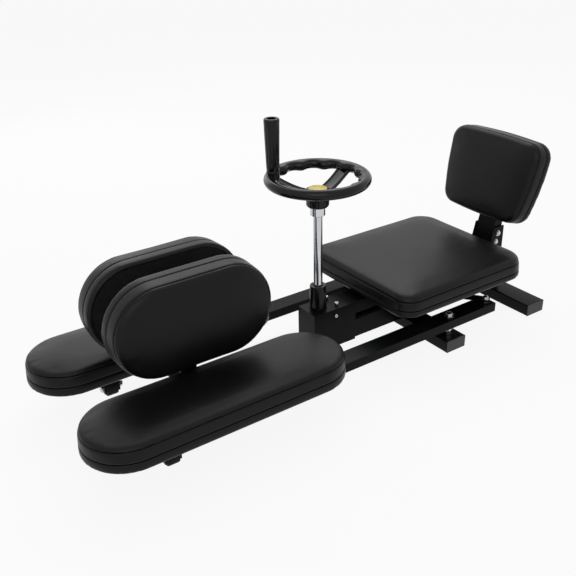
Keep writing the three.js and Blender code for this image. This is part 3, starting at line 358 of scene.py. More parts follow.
def finished(name: str, mesh: bpy.types.Mesh, finish: Finish, body: str, replaced: Sequence[str] = (),
             crease: float = 35.0) -> bpy.types.Object:
    """Links a mesh as a piece of the machine.

    Args:
        name: the piece's name.
        mesh: its mesh, already in place.
        finish: what it is made of.
        body: the moving body that carries it.
        replaced: the CAD nodes that it stands for.
        crease: the angle in degrees past which an edge stays sharp; 0 leaves the mesh's own.

    Returns:
        The piece.
    """
    mesh.name = name
    mesh.materials.clear()
    mesh.materials.append(finish.material())
    if crease:
        mesh.shade_smooth()
        mesh.set_sharp_from_angle(angle=math.radians(crease))
    piece = bpy.data.objects.new(name, mesh)
    bpy.context.scene.collection.objects.link(piece)
    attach(piece, body)
    if replaced:
        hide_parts(*replaced)
    LOG.info("%s: %d faces on %s", name, len(mesh.polygons), body)
    return piece


def mesh_from(bm: bmesh.types.BMesh) -> bpy.types.Mesh:
    """Turns a bmesh into a mesh with its faces pointing out.

    Args:
        bm: the shape; it is freed.

    Returns:
        The mesh.
    """
    bmesh.ops.remove_doubles(bm, verts=bm.verts, dist=WELD)
    bmesh.ops.recalc_face_normals(bm, faces=bm.faces)
    mesh = bpy.data.meshes.new("shape")
    bm.to_mesh(mesh)
    bm.free()
    return mesh


def skinned(rings: Sequence[Sequence[Sequence[float]]], closed: bool = False,
            caps: Sequence[int] = ()) -> bpy.types.Mesh:
    """A mesh whose faces join each ring of corners to the next.

    Args:
        rings: each ring's corners in millimetres; a ring of one corner is a pole.
        closed: whether the last ring joins the first one.
        caps: the rings that are filled with a face of their own.

    Returns:
        The mesh.
    """
    bm = bmesh.new()
    made = [[bm.verts.new((x * MM, y * MM, z * MM)) for x, y, z in ring] for ring in rings]
    following = made[1:] + made[:1] if closed else made[1:]
    for low, high in zip(made, following):
        count = max(len(low), len(high))
        for k in range(count):
            after = (k + 1) % count
            corners = dict.fromkeys((low[k % len(low)], low[after % len(low)],
                                     high[after % len(high)], high[k % len(high)]))
            bm.faces.new(list(corners))
    for number in caps:
        bm.faces.new(made[number])
    return mesh_from(bm)


def evaluated(piece: bpy.types.Object) -> bpy.types.Mesh:
    """A plain mesh of the object with its modifiers applied."""
    graph = bpy.context.evaluated_depsgraph_get()
    return bpy.data.meshes.new_from_object(piece.evaluated_get(graph), depsgraph=graph)


def with_modifiers(mesh: bpy.types.Mesh, *steps: tuple[str, dict]) -> bpy.types.Mesh:
    """Applies modifiers to a mesh.

    Args:
        mesh: the start.
        steps: a modifier's type and its settings, in order.

    Returns:
        The changed mesh; the first one is removed.
    """
    worker = bpy.data.objects.new("worker", mesh)
    bpy.context.scene.collection.objects.link(worker)
    for kind, settings in steps:
        modifier = worker.modifiers.new(kind.lower(), kind)
        for name, value in settings.items():
            setattr(modifier, name, value)
    made = evaluated(worker)
    bpy.data.objects.remove(worker)
    bpy.data.meshes.remove(mesh)
    return made


def join_meshes(meshes: Sequence[bpy.types.Mesh]) -> bpy.types.Mesh:
    """Puts several meshes into one."""
    bm = bmesh.new()
    for mesh in meshes:
        bm.from_mesh(mesh)
    whole = bpy.data.meshes.new("shape")
    bm.to_mesh(whole)
    bm.free()
    return whole


def moved(mesh: bpy.types.Mesh, matrix: Matrix) -> bpy.types.Mesh:
    """The mesh after the matrix."""
    mesh.transform(matrix)
    return mesh


def softened(node: str, finish: Finish, edge: float) -> bpy.types.Object:
    """A CAD node with its edges rounded, in its place.

    Args:
        node: the CAD node.
        finish: its finish.
        edge: the rounding in millimetres.

    Returns:
        The new piece.
    """
    flat, folded, creased = math.radians(1.0), math.radians(30.0), math.radians(50.0)
    bm = bmesh.new()
    bm.from_mesh(frame["nodes"][node].data)
    bmesh.ops.remove_doubles(bm, verts=bm.verts, dist=WELD)
    bmesh.ops.dissolve_limit(bm, angle_limit=flat, verts=bm.verts, edges=bm.edges)
    mesh = bpy.data.meshes.new(node)
    bm.to_mesh(mesh)
    bm.free()
    mesh = with_modifiers(mesh, ("BEVEL", {
        "width": edge * MM, "segments": 2, "limit_method": "ANGLE", "angle_limit": folded,
        "use_clamp_overlap": True,
    }))
    mesh.shade_smooth()
    mesh.set_sharp_from_angle(angle=creased)
    mesh = with_modifiers(mesh, ("WEIGHTED_NORMAL", {"keep_sharp": True, "weight": 100}))
    return finished(f"{node}_finished", mesh, finish, frame["nodes"][node]["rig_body"], [node], crease=0)


class Round(Enum):
    """The outline of one step of a turned piece."""

    CIRCLE = "circle"
    HEXAGON = "hexagon"
    FLUTED = "fluted"


@dataclass(frozen=True)
class Step:
    """One step of a turned profile, in millimetres from the axis and along it."""

    radius: float
    height: float
    outline: Round = Round.CIRCLE

    def reach(self, angle: float, flutes: int, depth: float) -> float:
        """The distance from the axis at an angle.

        Args:
            angle: the direction in radians.
            flutes: how many flutes go round.
            depth: the flutes' depth in millimetres.

        Returns:
            The radius in millimetres.
        """
        if self.outline is Round.HEXAGON:
            sixth = math.pi / 3
            return self.radius * math.cos(sixth / 2) / math.cos((angle % sixth) - sixth / 2)
        if self.outline is Round.FLUTED:
            return self.radius - depth * (0.5 - 0.5 * math.cos(flutes * angle)) ** 2
        return self.radius


@dataclass(frozen=True)
class Turned:
    """A body of revolution: each step's radius, its height, and its outline where that isn't round."""

    steps: Sequence[tuple]
    segments: int = 48
    flutes: int = 12
    depth: float = 0.0
    closed: bool = False

    def mesh(self, foot: Sequence[float] = (0, 0, 0), axis: Sequence[float] = (0, 0, 1)) -> bpy.types.Mesh:
        """Builds the body.

        Args:
            foot: where its height is 0, in metres.
            axis: its direction.

        Returns:
            The mesh in place.
        """
        rings = [self.ring(Step(*step)) for step in self.steps]
        turn = Vector(axis).to_track_quat("Z", "Y").to_matrix().to_4x4()
        return moved(skinned(rings, self.closed), Matrix.Translation(Vector(foot)) @ turn)

    def ring(self, step: Step) -> list[tuple[float, float, float]]:
        """The corners of one step, or a single pole on the axis."""
        if step.radius == 0:
            return [(0.0, 0.0, step.height)]
        corners = []
        for k in range(self.segments):
            angle = math.tau * k / self.segments
            reach = step.reach(angle, self.flutes, self.depth)
            corners.append((reach * math.cos(angle), reach * math.sin(angle), step.height))
        return corners


@dataclass(frozen=True)
class SquareTube:
    """A rectangular steel tube with the rounded corners that rolling leaves."""

    span: Span
    along: str
    corner: float = 3.5
    wall: float = 2.0

    def mesh(self) -> bpy.types.Mesh:
        """Builds the tube, open at both ends."""
        run = "xyz".index(self.along)
        first, second = (k for k in range(3) if k != run)
        outer, inner = (self.section(first, second, inset) for inset in (0.0, self.wall))
        low, high = self.span.low[run] / MM, self.span.high[run] / MM
        rings = []
        for section, end in ((outer, low), (outer, high), (inner, high), (inner, low)):
            ring = []
            for a, b in section:
                corner = [0.0, 0.0, 0.0]
                corner[first], corner[second], corner[run] = a, b, end
                ring.append(corner)
            rings.append(ring)
        return skinned(rings, closed=True)

    def section(self, first: int, second: int, inset: float) -> list[tuple[float, float]]:
        """The rounded rectangle across the tube."""
        radius = max(self.corner - inset, 0.6)
        low_a, high_a = self.span.low[first] / MM + inset, self.span.high[first] / MM - inset
        low_b, high_b = self.span.low[second] / MM + inset, self.span.high[second] / MM - inset
        centres = ((high_a - radius, high_b - radius), (low_a + radius, high_b - radius),
                   (low_a + radius, low_b + radius), (high_a - radius, low_b + radius))
        return [(a + radius * math.cos(angle), b + radius * math.sin(angle))
                for quarter, (a, b) in enumerate(centres)
                for angle in (math.pi / 2 * (quarter + step / 6) for step in range(7))]


# Geometry node trees

Inputs = bpy.types.bpy_prop_collection


@dataclass
class Repeater:
    """A geometry tree with named inputs that repeats or sweeps a shape along what it is given."""

    name: str
    inputs: dict[str, tuple[str, object]]
    build: Callable[[bpy.types.NodeTree, Inputs], bpy.types.NodeSocket]

    def tree(self, finish: Finish) -> bpy.types.NodeTree:
        """The tree for one finish, built once.

        Args:
            finish: the finish that its last node sets.

        Returns:
            The geometry tree.
        """
        key = f"{self.name}_in_{finish.name}"
        known = bpy.data.node_groups.get(key)
        if known:
            return known
        tree = bpy.data.node_groups.new(key, "GeometryNodeTree")
        tree.interface.new_socket("Path", in_out="INPUT", socket_type="NodeSocketGeometry")
        for label, (kind, default) in self.inputs.items():
            tree.interface.new_socket(label, in_out="INPUT", socket_type=kind).default_value = default
        tree.interface.new_socket("Shape", in_out="OUTPUT", socket_type="NodeSocketGeometry")
        shape = self.build(tree, tree.nodes.new("NodeGroupInput").outputs)
        real = add_node(tree, "GeometryNodeRealizeInstances", {"Geometry": shape})
        dressed = add_node(tree, "GeometryNodeSetMaterial", {"Geometry": real, "Material": finish.material()})
        add_node(tree, "NodeGroupOutput", {"Shape": dressed})
        return tree

    def grow(self, path: bpy.types.Mesh, finish: Finish, **values) -> bpy.types.Mesh:
        """Runs the tree on a path.

        Args:
            path: the mesh whose edges or corners the tree reads; it is removed.
            finish: what the result is made of.
            values: the inputs that differ from their defaults.

        Returns:
            The result as a plain mesh.
        """
        worker = bpy.data.objects.new("path", path)
        bpy.context.scene.collection.objects.link(worker)
        modifier = worker.modifiers.new("grow", "NODES")
        modifier.node_group = self.tree(finish)
        for item in modifier.node_group.interface.items_tree:
            if item.in_out == "INPUT" and item.name in values:
                modifier[item.identifier] = values[item.name]
        made = evaluated(worker)
        bpy.data.objects.remove(worker)
        bpy.data.meshes.remove(path)
        return made


def polyline(points: Iterable[Sequence[float]], closed: bool = False) -> bpy.types.Mesh:
    """A mesh of edges along the points."""
    corners = [tuple(p) for p in points]
    count = len(corners)
    edges = [(k, k + 1) for k in range(count - 1)]
    if closed:
        edges.append((count - 1, 0))
    mesh = bpy.data.meshes.new("path")
    mesh.from_pydata(corners, edges, [])
    return mesh


def along_path(tree: bpy.types.NodeTree, given: Inputs, shape: bpy.types.NodeSocket,
               size: object) -> bpy.types.NodeSocket:
    """Instances of a shape at the given Spacing, turned along the path.

    Args:
        tree: the geometry tree.
        given: its inputs by name.
        shape: what is repeated, with its length along X.
        size: each instance's scale, a socket or a vector.

    Returns:
        The instances.
    """
    curve = add_node(tree, "GeometryNodeMeshToCurve", {"Mesh": given["Path"]})
    points = add_node(tree, "GeometryNodeResampleCurve", {
        "Curve": curve, "Length": given["Spacing"],
    }, mode="LENGTH")
    tangent = add_node(tree, "GeometryNodeInputTangent")
    turn = add_node(tree, "FunctionNodeAlignRotationToVector", {"Vector": tangent}, axis="X")
    return add_node(tree, "GeometryNodeInstanceOnPoints", {
        "Points": points, "Instance": shape, "Rotation": turn, "Scale": size,
    })


def build_stitches(tree: bpy.types.NodeTree, given: Inputs) -> bpy.types.NodeSocket:
    """Short rounded stitches at an even spacing."""
    ball = add_node(tree, "GeometryNodeMeshIcoSphere", {"Radius": 1.0, "Subdivisions": 1})
    size = add_node(tree, "ShaderNodeCombineXYZ", {
        0: given["Length"], 1: given["Thickness"], 2: given["Thickness"],
    })
    return along_path(tree, given, ball, size)


def build_bead(tree: bpy.types.NodeTree, given: Inputs) -> bpy.types.NodeSocket:
    """The overlapping ripples of a weld."""
    ball = add_node(tree, "GeometryNodeMeshIcoSphere", {"Radius": 1.0, "Subdivisions": 2})
    spread = add_node(tree, "FunctionNodeRandomValue", {
        LEAST: 0.82, MOST: 1.12, "Seed": given["Seed"],
    }, out=RANDOM_RESULT, data_type="FLOAT")
    size = add_node(tree, "ShaderNodeVectorMath", {
        0: given["Size"], "Scale": spread,
    }, operation="SCALE")
    return along_path(tree, given, ball, size)


def build_thread(tree: bpy.types.NodeTree, given: Inputs) -> bpy.types.NodeSocket:
    """A screw thread with several starts, swept up the Z axis from the origin."""
    rings = add_node(tree, "ShaderNodeMath", {
        0: given["Length"], 1: given["Lead"],
    }, operation="DIVIDE")
    helix = add_node(tree, "GeometryNodeCurveSpiral", {
        "Resolution": 28, "Rotations": rings, "Start Radius": given["Radius"],
        "End Radius": given["Radius"], "Height": given["Length"],
    })
    tooth = add_node(tree, "GeometryNodeCurvePrimitiveQuadrilateral", {
        "Bottom Width": given["Root"], "Top Width": given["Crest"],
        "Height": given["Depth"], "Offset": 0.0,
    }, mode="TRAPEZOID")
    swept = add_node(tree, "GeometryNodeCurveToMesh", {
        "Curve": helix, "Profile Curve": tooth, "Fill Caps": True,
    })
    whole = tree.nodes.new("GeometryNodeJoinGeometry")
    starts = 4
    for start in range(starts):
        turned = add_node(tree, "GeometryNodeTransform", {
            "Geometry": swept, "Rotation": (0.0, 0.0, start * math.tau / starts),
        })
        tree.links.new(turned, whole.inputs[0])
    return whole.outputs[0]


def build_cap_nuts(tree: bpy.types.NodeTree, given: Inputs) -> bpy.types.NodeSocket:
    """Domed nuts on washers, one at each point, standing along the point's direction."""
    washer = add_node(tree, "GeometryNodeMeshCylinder", {
        "Vertices": 40, "Radius": given["Washer Radius"], "Depth": given["Washer Height"],
    })
    nut = add_node(tree, "GeometryNodeMeshCylinder", {
        "Vertices": 6, "Radius": given["Nut Radius"], "Depth": given["Nut Height"],
    })
    dome = add_node(tree, "GeometryNodeMeshUVSphere", {"Segments": 32, "Rings": 20, "Radius": 1.0})
    dome_size = add_node(tree, "ShaderNodeCombineXYZ", {
        0: given["Dome Radius"], 1: given["Dome Radius"], 2: given["Dome Height"],
    })
    half_washer, half_nut = (
        add_node(tree, "ShaderNodeMath", {0: given[height], 1: 0.5}, operation="MULTIPLY")
        for height in ("Washer Height", "Nut Height"))
    nut_middle = add_node(tree, "ShaderNodeMath", {0: given["Washer Height"], 1: half_nut}, operation="ADD")
    nut_top = add_node(tree, "ShaderNodeMath", {0: nut_middle, 1: half_nut}, operation="ADD")
    whole = tree.nodes.new("GeometryNodeJoinGeometry")
    for part, height, scale in ((washer, half_washer, (1, 1, 1)), (nut, nut_middle, (1, 1, 1)),
                                (dome, nut_top, dome_size)):
        up = add_node(tree, "ShaderNodeCombineXYZ", {2: height})
        placed = add_node(tree, "GeometryNodeTransform", {
            "Geometry": part, "Translation": up, "Scale": scale,
        })
        tree.links.new(placed, whole.inputs[0])
    way = add_node(tree, "GeometryNodeInputNamedAttribute", {"Name": "stands_along"},
                   data_type="FLOAT_VECTOR")
    turn = add_node(tree, "FunctionNodeAlignRotationToVector", {"Vector": way}, axis="Z")
    return add_node(tree, "GeometryNodeInstanceOnPoints", {
        "Points": given["Path"], "Instance": whole.outputs[0], "Rotation": turn,
    })


FLOAT = "NodeSocketFloat"
STITCHES = Repeater("stitches", {
    "Spacing": (FLOAT, 6.5 * MM), "Length": (FLOAT, 2.2 * MM), "Thickness": (FLOAT, 0.5 * MM),
}, build_stitches)
WELD_BEAD = Repeater("weld_bead", {
    "Spacing": (FLOAT, 2.0 * MM), "Size": ("NodeSocketVector", (2.2 * MM, 2.6 * MM, 2.4 * MM)),
    "Seed": ("NodeSocketInt", 3),
}, build_bead)
LEAD_THREAD = Repeater("lead_thread", {
    "Length": (FLOAT, 0.28), "Lead": (FLOAT, 16 * MM), "Radius": (FLOAT, 6.4 * MM), "Root": (FLOAT, 2.2 * MM),
    "Crest": (FLOAT, 1.4 * MM), "Depth": (FLOAT, 1.2 * MM),
}, build_thread)
CAP_NUTS = Repeater("cap_nuts", {
    "Washer Radius": (FLOAT, 11 * MM), "Washer Height": (FLOAT, 1.6 * MM), "Nut Radius": (FLOAT, 9 * MM),
    "Nut Height": (FLOAT, 3.4 * MM), "Dome Radius": (FLOAT, 7.2 * MM), "Dome Height": (FLOAT, 4.2 * MM),
}, build_cap_nuts)


# Padded pieces


@dataclass
class PadOutline:
    """A pad's outline in its own plane: points with their outward normals."""

    points: list[Vector] = field(default_factory=list)
    normals: list[Vector] = field(default_factory=list)
    pulls: list[float] = field(default_factory=list)

    def add(self, point: Vector, normal: Vector, pull: float = 0.0) -> None:
        """Adds a point; pull is 1 at a side's middle and 0 at its ends."""
        self.points.append(point)
        self.normals.append(normal)
        self.pulls.append(pull)

    @classmethod
    def cornered(cls, corners: Sequence[tuple[float, float, float]], spacing: float = 7.0) -> "PadOutline":
        """A polygon with rounded corners.

        Args:
            corners: each corner's place and radius in millimetres, counter-clockwise.
            spacing: the distance between points in millimetres.

        Returns:
            The outline.
        """
        made = cls()
        count = len(corners)
        places = [Vector(corner[:2]) for corner in corners]
        radii = [corner[2] for corner in corners]
        facing = []
        for k in range(count):
            run = places[(k + 1) % count] - places[k]
            facing.append(Vector((run.y, -run.x)).normalized())
        for k in range(count):
            before, after = facing[k - 1], facing[k]
            middle = before + after
            radius = radii[k]
            centre = places[k] - middle * (radius / (0.5 * middle.length_squared))
            start = math.atan2(before.y, before.x)
            sweep = (math.atan2(after.y, after.x) - start) % (2 * math.pi)
            steps = max(4, round(radius * sweep / spacing))
            for step in range(steps + 1):
                angle = start + sweep * step / steps
                normal = Vector((math.cos(angle), math.sin(angle)))
                made.add(centre + normal * radius, normal)
            following = places[(k + 1) % count]
            radius = radii[(k + 1) % count]
            turn = facing[(k + 1) % count] + after
            end = following - turn * (radius / (0.5 * turn.length_squared)) + after * radius
            made.side(end, after, spacing)
        return made

    @classmethod
    def stadium(cls, half: float, low: float, high: float, spacing: float = 7.0) -> "PadOutline":
        """Two half circles joined by straight sides that run along the second axis.

        Args:
            half: half the width in millimetres.
            low: the lower end.
            high: the upper end.
            spacing: the distance between points.

        Returns:
            The outline.
        """
        made = cls()
        steps = round(math.pi * half / spacing)
        for centre, start in ((high - half, 0.0), (low + half, math.pi)):
            for step in range(steps + 1):
                angle = start + math.pi * step / steps
                normal = Vector((math.cos(angle), math.sin(angle)))
                made.add(Vector((0, centre)) + normal * half, normal)
            other = low + half if start == 0.0 else high - half
            normal = made.normals[-1]
            made.side(Vector((normal.x * half, other)), normal, spacing)
        return made

    def side(self, end: Vector, normal: Vector, spacing: float) -> None:
        """Adds the points between the last one and the end of a straight side."""
        start = self.points[-1].copy()
        steps = max(2, round((end - start).length / spacing))
        for step in range(1, steps):
            share = step / steps
            self.add(start.lerp(end, share), normal.copy(), math.sin(math.pi * share))

    def ring(self, inset: float, sag: float) -> list[Vector]:
        """The outline moved in by inset and drawn in by sag at the sides' middles."""
        return [p - n * (inset + sag * q) for p, n, q in zip(self.points, self.normals, self.pulls)]


@dataclass
class Pad:
    """One upholstered pad: foam on a board, a sewn cover, a dust cloth behind and its stitches.

    Sizes are in millimetres in the pad's own frame: its back is at w = 0 and its face looks
    along +w. The matrix puts that frame on the machine. The board stands out of the back by
    stand, and the cover is glued to it up to a height. Creasing is the share of the cloth's own
    wrinkles that the firm foam leaves. Each seam sits in two folds, a soft one and a sharp one,
    given by their depth and reach.
    """

    name: str
    body: str
    outline: PadOutline
    place: Matrix
    thickness: float
    edge: float
    crown: float
    seam: float
    sag: float = 0.0
    fill: float = 0.85
    voxel: float = 4.5
    swell: float = 6.0
    wrap: float = 12.0
    recess: float = 2.2
    stand: float = 0.0
    glued: float = 5.0
    pressure: float = 4.0
    frames: int = 20
    creasing: float = 0.12
    evenings: int = 80
    stitch_rise: float = 3.6
    fold_loops: tuple[float, ...] = (-1.6, -0.8, 0.0, 0.8, 1.6)
    folds: tuple[tuple[float, float], ...] = ((0.8, 2.6), (2.4, 0.9))

    def build(self) -> None:
        """Makes the cover, its stitches and its dust cloth."""
        mesh = self.start_shape()
        mesh = with_modifiers(mesh, ("REMESH", {"mode": "VOXEL", "voxel_size": self.voxel * MM}))
        mesh = self.filled(mesh)
        mesh = with_modifiers(mesh, ("SUBSURF", {"levels": 1, "render_levels": 1}))
        self.cut_seams(mesh)
        self.shape_bands(mesh)
        stitches = self.stitches(mesh)
        cover = finished(f"{self.name}_cover", moved(mesh, self.place), LEATHERETTE, self.body,
                         [f"{self.name}_cushion"], crease=80.0)
        finished(f"{self.name}_stitches", moved(stitches, self.place), THREAD, self.body)
        finished(f"{self.name}_dust_cloth", moved(self.dust_cloth(), self.place), DUST_CLOTH, self.body,
                 [f"{self.name}_board"], crease=180.0)

    def start_shape(self) -> bpy.types.Mesh:
        """A closed, slightly slack shape: flat back, straight sides, rounded edge, crowned face."""
        slack = 0.6
        rows = [(self.wrap + 8, 0.0), (self.wrap, 0.0), (5.0, 0.0), (1.6, 1.4), (0.0, 4.5)]
        side_top = self.thickness - self.edge
        count = max(2, round((side_top - 4.5) / 2.6))
        rows += [(0.0, 4.5 + (side_top - 4.5) * k / count) for k in range(1, count + 1)]
        for step in range(1, 7):
            angle = math.pi / 2 * step / 6
            rows.append((self.edge * (1 - math.cos(angle)), side_top + self.edge * math.sin(angle)))
        rings = [(self.outline.ring(inset + slack, self.sag), w) for inset, w in rows]
        rim = rings[-1][0]
        middle = sum(rim, Vector((0, 0))) / len(rim)
        for share in (0.94, 0.86, 0.76, 0.64, 0.5, 0.34, 0.17):
            ring = [middle.lerp(p, share) for p in rim]
            rings.append((ring, self.thickness - slack * 0.5 + self.crown * (1 - share ** 2)))
        for share in (0.7, 0.35):
            rings.insert(0, ([middle.lerp(p, share) for p in rings[0][0]], 0.0))
        rings = [([middle], 0.0), *rings, ([middle], self.thickness + self.crown)]
        return skinned([[(p.x, p.y, w) for p in ring] for ring, w in rings])

    def filled(self, mesh: bpy.types.Mesh) -> bpy.types.Mesh:
        """Swells the cover with foam by cloth pressure, and caps how far a point moves.

        Args:
            mesh: the slack shape in even faces; it is removed.

        Returns:
            The filled shape.
        """
        worker = bpy.data.objects.new("filling", mesh)
        scene = bpy.context.scene
        scene.collection.objects.link(worker)
        start = np.array([v.co[:] for v in mesh.vertices])
        held = worker.vertex_groups.new(name="held")
        held.add([int(k) for k in np.nonzero(start[:, 2] < self.glued * MM)[0]], 1.0, "REPLACE")
        cloth = worker.modifiers.new("fill", "CLOTH")
        cloth.settings.use_pressure = True
        cloth.settings.uniform_pressure_force = self.pressure
        cloth.settings.quality = 4
        cloth.settings.effector_weights.gravity = 0.0
        cloth.settings.vertex_group_mass = held.name
        cloth.collision_settings.use_collision = False
        cloth.point_cache.frame_start = 1
        cloth.point_cache.frame_end = self.frames
        scene.frame_start = 1
        scene.frame_end = self.frames
        for number in range(1, self.frames + 1):
            scene.frame_set(number)
        graph = bpy.context.evaluated_depsgraph_get()
        swollen = worker.evaluated_get(graph).to_mesh()
        after = np.array([v.co[:] for v in swollen.vertices])
        step = after - start
        length = np.linalg.norm(step, axis=1, keepdims=True)
        step *= np.minimum(1.0, self.swell * MM / np.maximum(length, 1e-9))
        worker.modifiers.clear()
        scene.frame_set(1)
        even = self.evened(mesh, step)
        swell = even + self.creasing * (step - even)
        mesh.vertices.foreach_set("co", (start + swell * self.swell_share(start)).ravel())
        bpy.data.objects.remove(worker)
        return with_modifiers(mesh, ("SMOOTH", {"factor": 0.5, "iterations": 2}))

    def evened(self, mesh: bpy.types.Mesh, step: np.ndarray) -> np.ndarray:
        """The swelling as firm foam gives it, spread evenly over the cover.

        Args:
            mesh: the cover.
            step: how far each of its points moved.

        Returns:
            The even movement of each point.
        """
        ends = np.empty(len(mesh.edges) * 2, dtype=np.int32)
        mesh.edges.foreach_get("vertices", ends)
        here = np.concatenate((ends[0::2], ends[1::2]))
        there = np.concatenate((ends[1::2], ends[0::2]))
        count = np.maximum(np.bincount(here, minlength=len(step)), 1)
        even = step.copy()
        for _ in range(self.evenings):
            for axis in range(3):
                even[:, axis] = np.bincount(here, weights=even[there, axis], minlength=len(step)) / count
        return even

    def swell_share(self, start: np.ndarray) -> np.ndarray:
        """How much of its swelling each point keeps: little at the board, most on the face."""
        share = np.clip(start[:, 2] / (self.thickness * MM), 0.0, 1.0)
        return (0.25 + 0.75 * share ** 2)[:, None]

    def face_seam(self) -> float:
        """The height of the seam that joins the face to the side, in millimetres."""
        return self.thickness - self.edge + 1.5

    def nearest(self) -> KDTree:
        """The outline's points for nearest-point questions, in metres."""
        tree = KDTree(len(self.outline.points))
        for k, (p, n, q) in enumerate(zip(self.outline.points, self.outline.normals, self.outline.pulls)):
            tree.insert(Vector(((p.x - n.x * self.sag * q) * MM, (p.y - n.y * self.sag * q) * MM, 0)), k)
        tree.balance()
        return tree

    def cut_seams(self, mesh: bpy.types.Mesh) -> None:
        """Cuts edge loops along both seams, so that their folds stay crisp.

        Args:
            mesh: the cover in the pad's frame; it is changed.
        """
        bm = bmesh.new()
        bm.from_mesh(mesh)
        for seam in (self.seam, self.face_seam()):
            for offset in self.fold_loops:
                bmesh.ops.bisect_plane(bm, geom=[*bm.verts, *bm.edges, *bm.faces], dist=1e-5,
                                       plane_co=(0, 0, (seam + offset) * MM), plane_no=(0, 0, 1))
        bm.to_mesh(mesh)
        bm.free()

    def shape_bands(self, mesh: bpy.types.Mesh) -> None:
        """Presses the two seams into the sides and lays the back flat.

        Args:
            mesh: the cover in the pad's frame; it is changed.
        """
        tree = self.nearest()
        heights = np.zeros(len(mesh.vertices), dtype=np.float32)
        crease = self.face_seam()
        for index, vertex in enumerate(mesh.vertices):
            place = vertex.co
            spot, k, _ = tree.find((place.x, place.y, 0))
            normal = self.outline.normals[k]
            inset = -((place.x - spot.x) * normal.x + (place.y - spot.y) * normal.y) / MM
            w = place.z / MM
            heights[index] = w
            if w < self.glued and inset > self.wrap:
                vertex.co.z = self.recess * MM
                continue
            side = 1.0 - min(1.0, max(0.0, (inset - 5.0) / 8.0))
            if side <= 0.0:
                continue
            shift = -sum(depth * math.exp(-((w - height) / reach) ** 2)
                         for height in (self.seam, crease) for depth, reach in self.folds)
            if 0 < w < self.seam:
                shift += 0.6 * math.sin(math.pi * w / self.seam)
            vertex.co.x += normal.x * shift * side * MM
            vertex.co.y += normal.y * shift * side * MM
        for name, seam in (("above_band_seam", self.seam), ("above_face_seam", crease)):
            layer = mesh.attributes.new(name, "FLOAT", "POINT")
            layer.data.foreach_set("value", heights - seam)
        mesh.update()

    def stitches(self, cover: bpy.types.Mesh) -> bpy.types.Mesh:
        """A row of stitches just above the seam, laid on the cover.

        Args:
            cover: the cover in the pad's frame.

        Returns:
            The stitches as one mesh.
        """
        bm = bmesh.new()
        bm.from_mesh(cover)
        surface = BVHTree.FromBMesh(bm)
        bm.free()
        height = (self.seam + self.stitch_rise) * MM
        row = []
        for point, normal in zip(self.outline.points, self.outline.normals):
            out = Vector((normal.x, normal.y, 0))
            start = Vector((point.x * MM, point.y * MM, height)) + out * 15 * MM
            hit, _, _, _ = surface.ray_cast(start, -out)
            if hit:
                row.append(hit + out * 0.15 * MM)
        return STITCHES.grow(polyline(row, closed=True), THREAD)

    def dust_cloth(self) -> bpy.types.Mesh:
        """The black cloth stapled over the pad's back, puckered round its edge."""
        middle = sum(self.outline.points, Vector((0, 0))) / len(self.outline.points)
        edge = self.outline.ring(self.wrap - 1.5, self.sag)
        rings = []
        for share in (1.0, 0.985, 0.965, 0.94, 0.91, 0.88, 0.84, 0.8,
                      0.74, 0.68, 0.6, 0.5, 0.4, 0.3, 0.2, 0.1):
            ring = []
            for p in edge:
                q = middle.lerp(p, share)
                pucker = noise.noise(Vector((q.x * 0.045, q.y * 0.045, 3.0)))
                fine = noise.noise(Vector((q.x * 0.14, q.y * 0.14, 9.0)))
                near_edge = max(0.0, 1 - (1 - share) * 7)
                w = self.recess * 0.45 - (0.75 * pucker + 0.45 * fine) * (0.6 + 0.8 * near_edge)
                w = min(max(w, 0.15), self.recess - 0.2) - self.stand
                if share == 1.0:
                    w = self.recess + 0.6
                ring.append((q.x, q.y, w))
            rings.append(ring)
        sheet = skinned(rings, caps=[-1])
        return with_modifiers(sheet, ("SOLIDIFY", {"thickness": 0.4 * MM, "offset": -1.0}))


# Sub-assemblies


